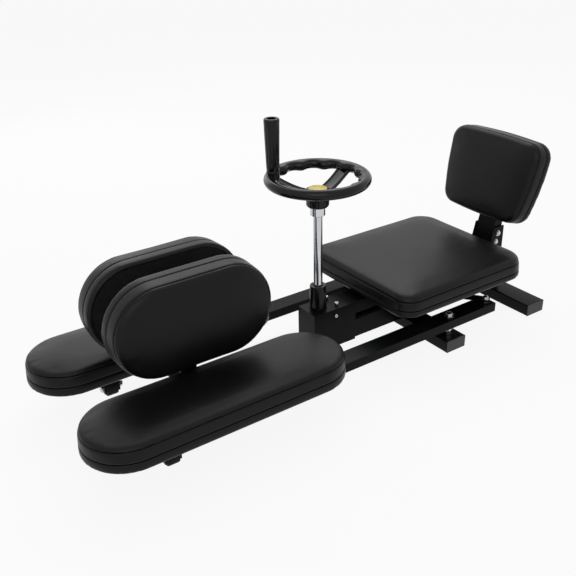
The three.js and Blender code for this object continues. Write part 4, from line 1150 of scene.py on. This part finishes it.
@dataclass
class Upholstery:
    """The seat, the backrest, the two leg pads and the two upright pads."""

    recline: float = math.radians(14)
    back_top: float = 314.0
    back_bottom: float = 264.0
    back_height: float = 222.0
    back_thickness: float = 59.0
    back_corner: float = 43.0
    back_base: tuple[float, float] = (292.3, 245.3)
    seat_front_corner: float = 46.0
    seat_rear_corner: float = 60.0

    def build(self) -> None:
        """Makes the six pads."""
        self.seat().build()
        self.backrest().build()
        for name, side in SIDES.items():
            self.leg_pad(name).build()
            self.upright_pad(name, side).build()

    def seat(self) -> Pad:
        """The square seat pad."""
        box = Span.of("seat_cushion")
        low, high = box.low / MM, box.high / MM
        front, rear = self.seat_front_corner, self.seat_rear_corner
        outline = PadOutline.cornered([
            (low.x, low.y, front), (high.x, low.y, front), (high.x, high.y, rear), (low.x, high.y, rear)])
        return Pad("seat", "frame", outline, Matrix.Translation((0, 0, box.low.z)), thickness=56.0, edge=16.0,
                   crown=6.0, seam=18.5, voxel=4.8)

    def backrest(self) -> Pad:
        """The reclined backrest pad, wider at its top."""
        low, high = self.back_bottom / 2, self.back_top / 2
        height, corner = self.back_height, self.back_corner
        outline = PadOutline.cornered([
            (-low, 0, corner), (low, 0, corner), (high, height, corner), (-high, height, corner)])
        up = Vector((0, math.sin(self.recline), math.cos(self.recline)))
        out = Vector((0, -math.cos(self.recline), math.sin(self.recline)))
        origin = Vector((0, self.back_base[0] * MM, self.back_base[1] * MM))
        return Pad("backrest", "frame", outline, basis(Vector((1, 0, 0)), up, out, origin),
                   thickness=self.back_thickness, edge=12.0, crown=5.0, seam=21.0, sag=-3.5)

    def leg_pad(self, name: str) -> Pad:
        """The long flat pad on a leg arm."""
        box = Span.of(f"{name}_leg_cushion")
        half = box.size.x / 2 / MM
        outline = PadOutline.stadium(half, box.low.y / MM, box.high.y / MM)
        return Pad(f"{name}_leg", f"{name}_leg", outline, Matrix.Translation((box.centre.x, 0, box.low.z)),
                   thickness=57.0, edge=9.0, crown=4.0, seam=23.5, stand=3.0)

    def upright_pad(self, name: str, side: int) -> Pad:
        """The pad that stands beside a leg and faces outward."""
        box = Span.of(f"{name}_upright_cushion")
        half = box.size.z / 2 / MM
        outline = PadOutline.stadium(half, box.low.y / MM, box.high.y / MM)
        inner = box.low.x if side > 0 else box.high.x
        place = basis(Vector((0, 0, -side)), Vector((0, 1, 0)), Vector((side, 0, 0)),
                      Vector((inner, 0, box.centre.z)))
        return Pad(f"{name}_upright", f"{name}_leg", outline, place, thickness=72.0, edge=15.0, crown=5.0,
                   seam=27.0)


def basis(u: Vector, v: Vector, w: Vector, origin: Vector) -> Matrix:
    """The matrix that takes a plane's own axes to the machine's."""
    made = Matrix((u, v, w)).transposed().to_4x4()
    made.translation = origin
    return made


@dataclass
class HandWheel:
    """The moulded hand wheel with its cap, its crank grip and the chromed column under it.

    The waves point toward a direction across the rim, counted from straight out over straight up.
    """

    rim_radius: float = 111.5
    rim_section: float = 12.0
    waves: int = 12
    wave_depth: float = 7.5
    toward: float = math.radians(193)
    spokes: int = 3
    spoke_width: float = 32.0
    hub_radius: float = 28.0
    hub_foot: float = 27.0
    crank_radius: float = 103.0
    crank_angle: float = math.radians(-134.5)
    flutes: int = 12
    flute_depth: float = 1.1

    def __post_init__(self) -> None:
        """Reads where the wheel stands; heights are in millimetres."""
        wheel = Span.of("hand_wheel")
        self.centre = Vector((wheel.centre.x, wheel.centre.y, 0))
        self.hub_low = wheel.low.z / MM
        self.rim_z = Span.of("crank_stud").low.z / MM + 2.7
        self.hub_top = Span.of("hub_cap").low.z / MM

    def build(self) -> None:
        """Makes the wheel, its cap, its grip, its stud and the column."""
        place = Matrix.Translation(self.centre) @ Matrix.Rotation(self.crank_angle, 4, "Z")
        parts = [self.rim(), self.hub(), self.boss()]
        parts += [moved(self.spoke(), Matrix.Rotation(k * math.tau / self.spokes, 4, "Z"))
                  for k in range(self.spokes)]
        finished("hand_wheel_moulding", moved(join_meshes(parts), place), MOULDED_GLOSS, "hand_wheel",
                 ["hand_wheel"], crease=40.0)
        self.cap()
        self.grip(place @ Vector((self.crank_radius * MM, 0, 0)))
        self.column()

    def rim(self) -> bpy.types.Mesh:
        """The round rim, with finger waves along its inner side."""
        around, across = 240, 28
        rings = []
        for k in range(around):
            angle = math.tau * k / around
            hump = (0.5 + 0.5 * math.cos(self.waves * angle)) ** 1.4
            ring = []
            for j in range(across):
                turn = math.tau * j / across
                facing = max(0.0, math.cos(turn - self.toward)) ** 1.8
                reach = self.rim_section + self.wave_depth * hump * facing
                radius = self.rim_radius + reach * math.cos(turn)
                ring.append((radius * math.cos(angle), radius * math.sin(angle),
                             self.rim_z + reach * math.sin(turn)))
            rings.append(ring)
        return skinned(rings, closed=True)

    def hub(self) -> bpy.types.Mesh:
        """The hub: a ribbed cone that widens to the flange where the spokes start."""
        low, top, foot, wide = self.hub_low, self.hub_top, self.hub_foot, self.hub_radius
        steps = [(0, low), (foot - 3.5, low), (foot - 0.9, low + 2.5, Round.FLUTED),
                 (foot, low + 6, Round.FLUTED), (wide - 0.8, top - 25, Round.FLUTED),
                 (wide - 0.6, top - 24), (wide - 0.2, top - 21.6), (wide, top - 20.6),
                 (wide, top - 4), (wide - 0.9, top - 1.2), (wide - 3, top - 0.2),
                 (22.6, top - 0.2), (22.3, top - 1.0), (0, top - 1.0)]
        return Turned(steps, segments=120, flutes=20, depth=1.0).mesh()

    def boss(self) -> bpy.types.Mesh:
        """The boss that rises out of the rim under the grip."""
        top = Span.of("crank_grip").low.z / MM - 0.4
        low = self.rim_z - 6
        steps = [(0, low), (16, low), (16, low + 6), (15.3, top - 3), (15, top - 1),
                 (14, top), (0, top)]
        return Turned(steps, segments=48).mesh(foot=(self.crank_radius * MM, 0, 0))

    def spoke(self) -> bpy.types.Mesh:
        """A dished spoke along +X: a flat web between two raised borders."""
        half = self.spoke_width / 2
        border = [(half - 1.2, -4.5), (half, 0.0), (half - 0.8, 4.6), (half - 3.4, 4.8), (half - 5.2, 1.6)]
        section = [(-half + 1.2, -4.5), *border, *((-w, h) for w, h in reversed(border[1:]))]
        rings = []
        start, end = 20.0, self.rim_radius - 3
        low = self.hub_top - 11
        rise = self.rim_z - 1 - low
        bend, steps = 1.6, 14
        for k in range(steps + 1):
            share = k / steps
            x = start + (end - start) * share
            z = low + rise * share ** bend
            slope = rise * bend * share ** (bend - 1) / (end - start)
            flare = 1.0 + 0.2 * max(0.0, 2 * share - 1) ** 4
            lean = math.atan(slope)
            rings.append([(x - h * math.sin(lean), w * flare, z + h * math.cos(lean)) for w, h in section])
        return with_modifiers(skinned(rings, caps=[0, -1]), ("BEVEL", {
            "width": 0.7 * MM, "segments": 2, "limit_method": "ANGLE", "angle_limit": math.radians(25),
        }))

    def cap(self) -> None:
        """The plain yellow cap in the hub."""
        box = Span.of("hub_cap")
        low, height = box.low.z / MM, box.size.z / MM
        steps = [(0, low), (22, low), (22, low + 1.2), (21.2, low + 2.0), (19.6, low + 2.2),
                 (19.0, low + 1.8), (18.4, low + 2.1), (14, low + height * 0.72),
                 (8, low + height * 0.93), (0, low + height)]
        cap = Turned(steps, segments=64).mesh(foot=self.centre)
        finished("hub_cap_moulding", cap, YELLOW_CAP, "hand_wheel", ["hub_cap"])

    def grip(self, foot: Vector) -> None:
        """The tapered crank grip with its flutes, and the stud in its recess.

        Args:
            foot: the grip's axis at height 0.
        """
        box = Span.of("crank_grip")
        low, top = box.low.z / MM, box.high.z / MM
        length = top - low
        wide, narrow = box.size.x / 2 / MM, 15.0
        steps = [(5.3, low), (narrow - 2, low), (narrow - 0.6, low + 0.6), (narrow, low + 2),
                 (narrow + 0.2, low + 8)]
        rows = 14
        for k in range(rows + 1):
            share = 0.08 + 0.82 * k / rows
            radius = narrow + (wide - narrow) * share
            outline = Round.FLUTED if 0 < k < rows else Round.CIRCLE
            steps.append((radius, low + length * share, outline))
        steps += [(wide, top - 4), (wide - 0.5, top - 1.6), (wide - 1.8, top - 0.3), (wide - 3, top),
                  (11.2, top), (10.5, top - 0.8), (10.5, top - 15), (5.3, top - 15)]
        grip = Turned(steps, segments=self.flutes * 8, flutes=self.flutes, depth=self.flute_depth,
                      closed=True)
        finished("crank_grip_moulding", grip.mesh(foot=foot), MOULDED_GLOSS, "crank_grip", ["crank_grip"])
        stud = Span.of("crank_stud")
        head = stud.high.z / MM
        steps = [(0, stud.low.z / MM), (5, stud.low.z / MM), (5, head - 5), (8.2, head - 5),
                 (8.5, head - 4.6), (8.5, head - 0.8), (7.8, head), (4.4, head, Round.HEXAGON),
                 (4.4, head - 3, Round.HEXAGON), (0, head - 3)]
        finished("crank_stud_screw", Turned(steps).mesh(foot=foot), ZINC, "hand_wheel", ["crank_stud"])

    def column(self) -> None:
        """The chromed shaft and its collar."""
        shaft = Span.of("column_shaft")
        low, top, radius = shaft.low.z / MM, shaft.high.z / MM, shaft.size.x / 2 / MM
        foot, shoulder = 9.0, Span.of("drive_gear").high.z / MM + 0.3
        steps = [(0, low), (foot - 1, low), (foot, low + 1), (foot, shoulder), (radius, shoulder),
                 (radius, top - 1), (radius - 1, top), (0, top)]
        bore = radius + 0.3
        bar = Turned(steps, segments=64).mesh(foot=self.centre)
        finished("column_shaft_bar", bar, CHROME, "hand_wheel", ["column_shaft"])
        collar = Span.of("column_collar")
        low, top, radius = collar.low.z / MM, collar.high.z / MM, collar.size.x / 2 / MM
        steps = [(bore, low), (radius - 1.4, low), (radius, low + 1.4), (radius, top - 1.0),
                 (radius - 1.0, top), (bore, top)]
        ring = Turned(steps, segments=64, closed=True).mesh(foot=self.centre)
        finished("column_collar_ring", ring, CHROME, "hand_wheel", ["column_collar"])


@dataclass
class Drive:
    """The gearbox, its screws and socket, the lead screw and the carriage under the seat."""

    def build(self) -> None:
        """Makes the pieces of the drive."""
        self.socket()
        softened("gearbox_housing", POWDER_COAT, 2.0)
        softened("screw_channel", POWDER_COAT, 0.8)
        softened("nut_carriage", POWDER_COAT, 0.8)
        self.lead_screw()
        self.housing_screws()
        for name in SIDES:
            softened(f"{name}_link", POWDER_COAT, 0.7)

    def socket(self) -> None:
        """The column's black sleeve, and the block that it stands on inside the housing."""
        column = Span.of("column_shaft").centre
        box = Span.of("column_socket")
        top, low = box.high.z / MM, Span.of("gearbox_housing").high.z / MM - 4.3
        steps = [(11.3, low - 2), (21, low - 2), (21, low + 5), (20.7, low + 8), (20.3, top - 3),
                 (19.6, top - 0.8), (18.4, top), (13.4, top), (11.3, top - 2)]
        sleeve = Turned(steps, segments=64, closed=True).mesh(foot=(column.x, column.y, 0))
        foot = Span(box.low, Vector((box.high.x, box.high.y, low * MM)))
        block = SquareTube(foot, "y", corner=3.0, wall=11.0)
        finished("column_socket_sleeve", join_meshes([sleeve, block.mesh()]), MOULDED_GLOSS, "frame",
                 ["column_socket"])

    def lead_screw(self) -> None:
        """The lead screw: a core with plain journals and a thread of four starts."""
        box = Span.of("lead_screw")
        start, end = -196 * MM, 90 * MM
        height = box.centre.z
        low, top = box.low.y / MM, box.high.y / MM
        core = Turned([(0, low), (5, low), (6, low + 1), (6, start / MM), (5.9, start / MM + 1),
                       (5.9, end / MM), (6, end / MM + 1), (6, top - 1), (5, top), (0, top)])
        thread = LEAD_THREAD.grow(polyline([(0, 0, 0), (0, 0, 1 * MM)]), OILED_STEEL, Length=end - start)
        lay = Matrix.Translation((0, start, height)) @ Matrix.Rotation(-math.pi / 2, 4, "X")
        whole = join_meshes([core.mesh(foot=(0, 0, height), axis=(0, 1, 0)), moved(thread, lay)])
        finished("lead_screw_bar", whole, OILED_STEEL, "lead_screw", ["lead_screw"])

    def housing_screws(self) -> None:
        """The two tall screws on the housing's top and the one on its side."""
        for name, axis in (("left", (0, 0, 1)), ("right", (0, 0, 1)), ("side", (1, 0, 0))):
            box = Span.of(f"{name}_housing_screw")
            direction = Vector(axis)
            length = box.size.dot(direction) / MM
            foot = box.centre - direction * (length / 2 * MM)
            shank = 14
            shoulder = length - (length - shank) * 0.12
            steps = [(0, 0), (2.2, 0), (2.4, 0.4), (2.4, shank), (4.4, shank), (4.6, shank + 0.3),
                     (4.6, shoulder), (4.2, length), (2.3, length, Round.HEXAGON),
                     (2.3, length - 2.4, Round.HEXAGON), (0, length - 2.4)]
            screw = Turned(steps, segments=36).mesh(foot, axis)
            finished(f"{name}_housing_screw_turned", screw, ZINC, "frame", [f"{name}_housing_screw"])


@dataclass
class Frame:
    """The floor bars, the seat beam, the backrest post and the frame's fasteners."""

    corner: float = 3.5

    def build(self) -> None:
        """Makes the welded frame."""
        for name in ("front_crossbar", "rear_crossbar"):
            tube = SquareTube(Span.of(name), "x", corner=self.corner, wall=2.5)
            finished(f"{name}_tube", tube.mesh(), POWDER_COAT, "frame", [name])
        for row in ("front", "rear"):
            for side in SIDES:
                softened(f"{row}_{side}_cap", MOULDED_MATTE, 1.2)
            softened(f"{row}_seat_rail", POWDER_COAT, 1.0)
        softened("seat_beam", POWDER_COAT, 1.0)
        softened("backrest_post", POWDER_COAT, 1.0)
        self.spacers()
        self.backrest_bolts()
        self.pivot_bolts()
        self.welds()

    def spacers(self) -> None:
        """The chromed spacers under the arms' pivots."""
        for name in SIDES:
            box = Span.of(f"{name}_pivot_spacer")
            height, radius = box.size.z / MM, box.size.x / 2 / MM
            steps = [(6.3, 0), (radius - 0.8, 0), (radius, 0.8), (radius, height - 0.8),
                     (radius - 0.8, height), (6.3, height)]
            foot = (box.centre.x, box.centre.y, box.low.z)
            finished(f"{name}_pivot_spacer_ring", Turned(steps, closed=True).mesh(foot), CHROME, "frame",
                     [f"{name}_pivot_spacer"])

    def backrest_bolts(self) -> None:
        """The two bolts through the backrest's ears, domed on the left and nutted on the right."""
        for name in ("upper", "lower"):
            box = Span.of(f"{name}_backrest_bolt")
            y, z = box.centre.y, box.centre.z
            face, across, end = 35, 6.5 / math.cos(math.pi / 6), -44
            dome = cap_nut((face * MM, y, z), (1, 0, 0), washer=(8.2, 1.2), nut=(7.4, 2.6), dome=(6.0, 3.2))
            steps = [(0, end), (4, end), (4, end + 2), (across, end + 2, Round.HEXAGON),
                     (across, -face, Round.HEXAGON), (4, -face), (4, face + 0.5), (0, face + 0.5)]
            shank = Turned(steps, segments=36).mesh((0, y, z), (1, 0, 0))
            finished(f"{name}_backrest_bolt_set", join_meshes([dome, shank]), ZINC, "frame",
                     [f"{name}_backrest_bolt"])

    def pivot_bolts(self) -> None:
        """The leg pivots' bolts, with a domed nut on a washer above each arm."""
        for name in SIDES:
            box = Span.of(f"{name}_pivot_bolt")
            x, y, low = box.centre.x, box.centre.y, box.low.z / MM
            arm_top, nut_low, nut_top = 86.2, 21.5, 30.5
            dome = cap_nut((x, y, arm_top * MM), (0, 0, 1), washer=(14.5, 1.6), nut=(10.6, 3.0),
                           dome=(8.8, 4.4))
            steps = [(0, low), (5.4, low), (6, low + 0.8), (6, nut_low), (10.4, nut_low, Round.HEXAGON),
                     (10.4, nut_top, Round.HEXAGON), (6, nut_top), (6, arm_top + 0.8), (0, arm_top + 0.8)]
            shank = Turned(steps, segments=36).mesh((x, y, 0))
            finished(f"{name}_pivot_bolt_set", join_meshes([dome, shank]), ZINC, "frame",
                     [f"{name}_pivot_bolt"])

    def welds(self) -> None:
        """Weld beads where the frame's tubes meet."""
        channel = Span.of("screw_channel")
        housing = Span.of("gearbox_housing")
        bar_top = Span.of("rear_crossbar").high.z
        beam_low, beam_high, half = 104 * MM, 137 * MM, 30 * MM
        post_front, post_back = 304 * MM, 328 * MM
        bar_half, rear_bar = 32 * MM, 281 * MM
        runs = [[(-half, y, bar_top), (half, y, bar_top)] for y in (post_front, post_back)]
        for x in (channel.low.x, channel.high.x):
            runs.append([(x, -bar_half, bar_top), (x, bar_half, bar_top)])
            runs.append([(x, rear_bar, bar_top), (x, channel.high.y, bar_top)])
        for x in (-half, half):
            runs.append([(x, housing.high.y, beam_low), (x, housing.high.y, beam_high)])
            runs.append([(x, post_front, bar_top), (x, post_back, bar_top)])
        runs.append([(-half, housing.high.y, beam_high), (half, housing.high.y, beam_high)])
        finished("frame_weld_beads", beads(runs), POWDER_COAT, "frame", crease=60.0)


def cap_nut(foot: Sequence[float], way: Sequence[float], **sizes: tuple[float, float]) -> bpy.types.Mesh:
    """A domed nut on a washer.

    Args:
        foot: the middle of the washer's underside, in metres.
        way: the direction it stands in.
        sizes: the radius and the height of its washer, nut and dome, in millimetres.

    Returns:
        The nut.
    """
    mesh = bpy.data.meshes.new("point")
    mesh.from_pydata([tuple(foot)], [], [])
    layer = mesh.attributes.new("stands_along", "FLOAT_VECTOR", "POINT")
    layer.data.foreach_set("vector", way)
    values = {}
    for part, (radius, height) in sizes.items():
        values[f"{part.title()} Radius"] = radius * MM
        values[f"{part.title()} Height"] = height * MM
    return CAP_NUTS.grow(mesh, ZINC, **values)


def beads(runs: Sequence[Sequence[Sequence[float]]]) -> bpy.types.Mesh:
    """Weld beads along each run, as one mesh."""
    return join_meshes([WELD_BEAD.grow(polyline(run), POWDER_COAT, Seed=seed)
                        for seed, run in enumerate(runs)])


@dataclass
class LegArm:
    """One swinging arm with its roller, its upright bracket and its bolts."""

    name: str
    side: int
    axle_radius: float = 5.0

    def build(self) -> None:
        """Makes the arm's pieces."""
        body = f"{self.name}_leg"
        softened(f"{self.name}_arm", POWDER_COAT, 1.0)
        softened(f"{self.name}_arm_cap", MOULDED_MATTE, 1.0)
        softened(f"{self.name}_upright_bracket", POWDER_COAT, 1.0)
        self.tail_bolt(body)
        self.axle(body)
        self.roller()
        self.welds(body)

    def tail_bolt(self, body: str) -> None:
        """The bolt that holds the link: washers round the link, a domed nut above, a nut below."""
        box = Span.of(f"{self.name}_tail_bolt")
        x, y = box.centre.x, box.centre.y
        low, arm_low, arm_top, link_low, link_top = 55, 62, 86, 88.3, 93.7
        steps = [(0, low), (4.4, low), (5, low + 0.6), (5, low + 2), (9.2, low + 2, Round.HEXAGON),
                 (9.2, arm_low, Round.HEXAGON), (5, arm_low), (5, arm_top), (10.7, arm_top),
                 (11, arm_top + 0.3), (11, link_low - 0.2), (10.7, link_low), (5, link_low),
                 (5, link_top + 0.8), (0, link_top + 0.8)]
        shank = Turned(steps, segments=36).mesh((x, y, 0))
        dome = cap_nut((x, y, link_top * MM), (0, 0, 1), washer=(11, 1.5), nut=(9.6, 2.4), dome=(7.6, 3.5))
        finished(f"{self.name}_tail_bolt_set", join_meshes([shank, dome]), ZINC, body,
                 [f"{self.name}_tail_bolt"])

    def axle(self, body: str) -> None:
        """The roller's axle: a bolt along the arm."""
        box = Span.of(f"{self.name}_roller_axle")
        low, top = box.low.y / MM, box.high.y / MM
        nut, radius = 9.2, self.axle_radius
        steps = [(0, low), (7.6, low), (8.5, low + 0.8), (8.5, low + 5), (radius, low + 5),
                 (radius, top - 11), (nut, top - 11, Round.HEXAGON), (nut, top - 3, Round.HEXAGON),
                 (radius, top - 3), (radius, top - 0.6), (radius - 0.6, top), (0, top)]
        roller = Span.of(f"{self.name}_roller").centre
        bolt = Turned(steps, segments=36).mesh((roller.x, 0, roller.z), (0, 1, 0))
        finished(f"{self.name}_roller_axle_bolt", bolt, ZINC, body, [f"{self.name}_roller_axle"])

    def roller(self) -> None:
        """The rubber roller, with a shallow groove on each shoulder."""
        box = Span.of(f"{self.name}_roller")
        half, radius = box.size.y / 2 / MM, box.size.x / 2 / MM
        upper = [(radius, half - 3), (radius - 0.9, half - 1), (radius - 3, half), (14, half),
                 (13.4, half - 1.2), (11.6, half - 1.2), (11, half), (5.3, half)]
        steps = [*((reach, -height) for reach, height in reversed(upper)), *upper]
        tread = Turned(steps, segments=64, closed=True).mesh(box.centre, (0, 1, 0))
        finished(f"{self.name}_roller_tread", tread, RUBBER, f"{self.name}_roller", [f"{self.name}_roller"])

    def welds(self, body: str) -> None:
        """Beads along the bracket's feet and round the roller fork."""
        arm = Span.of(f"{self.name}_arm_cap")
        inner = arm.low.x if self.side > 0 else arm.high.x
        bracket = Span.of(f"{self.name}_upright_bracket").centre.y
        roller = Span.of(f"{self.name}_roller").centre
        arm_middle, arm_low, fork_half, fork_out = 74.5 * MM, 62 * MM, 18 * MM, 19.5 * MM
        runs = []
        for way in (-1, 1):
            near, far = bracket + way * 38 * MM, bracket + way * 62 * MM
            runs.append([(inner, near, arm_middle), (inner, far, arm_middle)])
        for way in (-1, 1):
            y = roller.y + way * fork_out
            runs.append([(roller.x - fork_half, y, arm_low), (roller.x + fork_half, y, arm_low)])
        finished(f"{self.name}_leg_weld_beads", beads(runs), POWDER_COAT, body, crease=60.0)


# Studio


@dataclass(frozen=True)
class Lamp:
    """A soft square lamp."""

    name: str
    place: tuple[float, float, float]
    aim: tuple[float, float, float]
    size: float
    power: float

    def build(self) -> None:
        """Adds the lamp."""
        data = bpy.data.lights.new(self.name, "AREA")
        data.shape = "SQUARE"
        data.size = self.size
        data.energy = self.power
        lamp = bpy.data.objects.new(self.name, data)
        lamp.location = self.place
        lamp.rotation_euler = (Vector(self.aim) - Vector(self.place)).to_track_quat("-Z", "Y").to_euler()
        bpy.context.scene.collection.objects.link(lamp)


@dataclass
class Studio:
    """The camera at the photograph's viewing angle, a pale floor and plain soft light."""

    azimuth: float = math.radians(56.0)
    elevation: float = math.radians(27.08)
    roll: float = math.radians(-1.36)
    lens: float = 49.07
    place: tuple[float, float, float] = (1.3724, -1.31303, 1.06612)

    def build(self) -> None:
        """Sets up the view, the floor and the lamps."""
        self.camera()
        self.floor()
        self.world()
        for lamp in (
            Lamp("key", (-1.6, 0.6, 2.6), (0, -0.2, 0.1), 2.2, 34.0),
            Lamp("fill", (2.6, -2.2, 2.4), (0, -0.3, 0.2), 2.4, 20.0),
            Lamp("side", (-2.6, -0.4, 1.1), (0, -0.3, 0.2), 1.4, 6.0),
        ):
            lamp.build()
        bpy.context.scene.view_settings.view_transform = "Standard"

    def camera(self) -> None:
        """The camera, with the slight roll that the photograph has."""
        a, e = self.azimuth, self.elevation
        back = Vector((math.sin(a) * math.cos(e), -math.cos(a) * math.cos(e), math.sin(e)))
        right = Vector((math.cos(a), math.sin(a), 0))
        up = back.cross(right)
        c, s = math.cos(self.roll), math.sin(self.roll)
        turned_right = right * c + up * s
        turned_up = up * c - right * s
        data = bpy.data.cameras.new("photograph_view")
        data.sensor_width = 36.0
        data.lens = self.lens
        camera = bpy.data.objects.new("photograph_view", data)
        camera.matrix_world = basis(turned_right, turned_up, back, Vector(self.place))
        bpy.context.scene.collection.objects.link(camera)
        bpy.context.scene.camera = camera

    def floor(self) -> None:
        """A white floor that keeps a faint shadow."""
        mesh = bpy.data.meshes.new("floor")
        reach = 12.0
        mesh.from_pydata([(-reach, -reach, 0), (reach, -reach, 0), (reach, reach, 0), (-reach, reach, 0)], [],
                         [(0, 1, 2, 3)])
        material = bpy.data.materials.new("white_paper")
        material.use_nodes = True
        tree = material.node_tree
        tree.nodes.clear()
        seen = self.seen(tree)
        share = add_node(tree, "ShaderNodeMath", {0: seen, 1: 0.9}, operation="MULTIPLY")
        paper = add_node(tree, "ShaderNodeBsdfDiffuse", {"Color": (0.8, 0.8, 0.8, 1)})
        glow = add_node(tree, "ShaderNodeEmission", {"Color": (1, 1, 1, 1), "Strength": 1.0})
        both = add_node(tree, "ShaderNodeMixShader", {0: share, 1: paper, 2: glow})
        add_node(tree, "ShaderNodeOutputMaterial", {"Surface": both})
        mesh.materials.append(material)
        floor = bpy.data.objects.new("floor", mesh)
        bpy.context.scene.collection.objects.link(floor)

    def world(self) -> None:
        """White where it is seen or mirrored, and a plain soft light otherwise."""
        world = bpy.data.worlds.new("studio")
        bpy.context.scene.world = world
        world.use_nodes = True
        tree = world.node_tree
        tree.nodes.clear()
        strength = add_node(tree, "ShaderNodeMapRange", {
            "Value": self.seen(tree), "To Min": 0.5, "To Max": 1.0,
        })
        sky = add_node(tree, "ShaderNodeBackground", {"Color": (1, 1, 1, 1), "Strength": strength})
        add_node(tree, "ShaderNodeOutputWorld", {"Surface": sky})

    def seen(self, tree: bpy.types.NodeTree) -> bpy.types.NodeSocket:
        """1 for a ray from the camera, off a gloss or through glass."""
        path = tree.nodes.new("ShaderNodeLightPath").outputs
        pair = add_node(tree, "ShaderNodeMath", {
            0: path["Is Camera Ray"], 1: path["Is Glossy Ray"],
        }, operation="MAXIMUM")
        return add_node(tree, "ShaderNodeMath", {
            0: pair, 1: path["Is Transmission Ray"],
        }, operation="MAXIMUM")


def dress_carried_nodes() -> None:
    """Gives each CAD node that still shows its real finish."""
    slots = {part["node"]: part["material_slot"] for part in frame["record"]["subparts"]}
    for name, node in frame["nodes"].items():
        material = BY_SLOT[slots[name]].material()
        if not node.material_slots:
            node.data.materials.append(material)
        for slot in node.material_slots:
            slot.material = material


def main() -> None:
    logging.basicConfig(level=logging.INFO, format="%(relativeCreated)d %(name)s %(message)s")
    dress_carried_nodes()
    arms = [LegArm(name, side) for name, side in SIDES.items()]
    for assembly in (Frame(), Drive(), HandWheel(), *arms, Upholstery()):
        LOG.info("building %s", type(assembly).__name__)
        assembly.build()
    Studio().build()


if __name__ == "__main__":
    main()
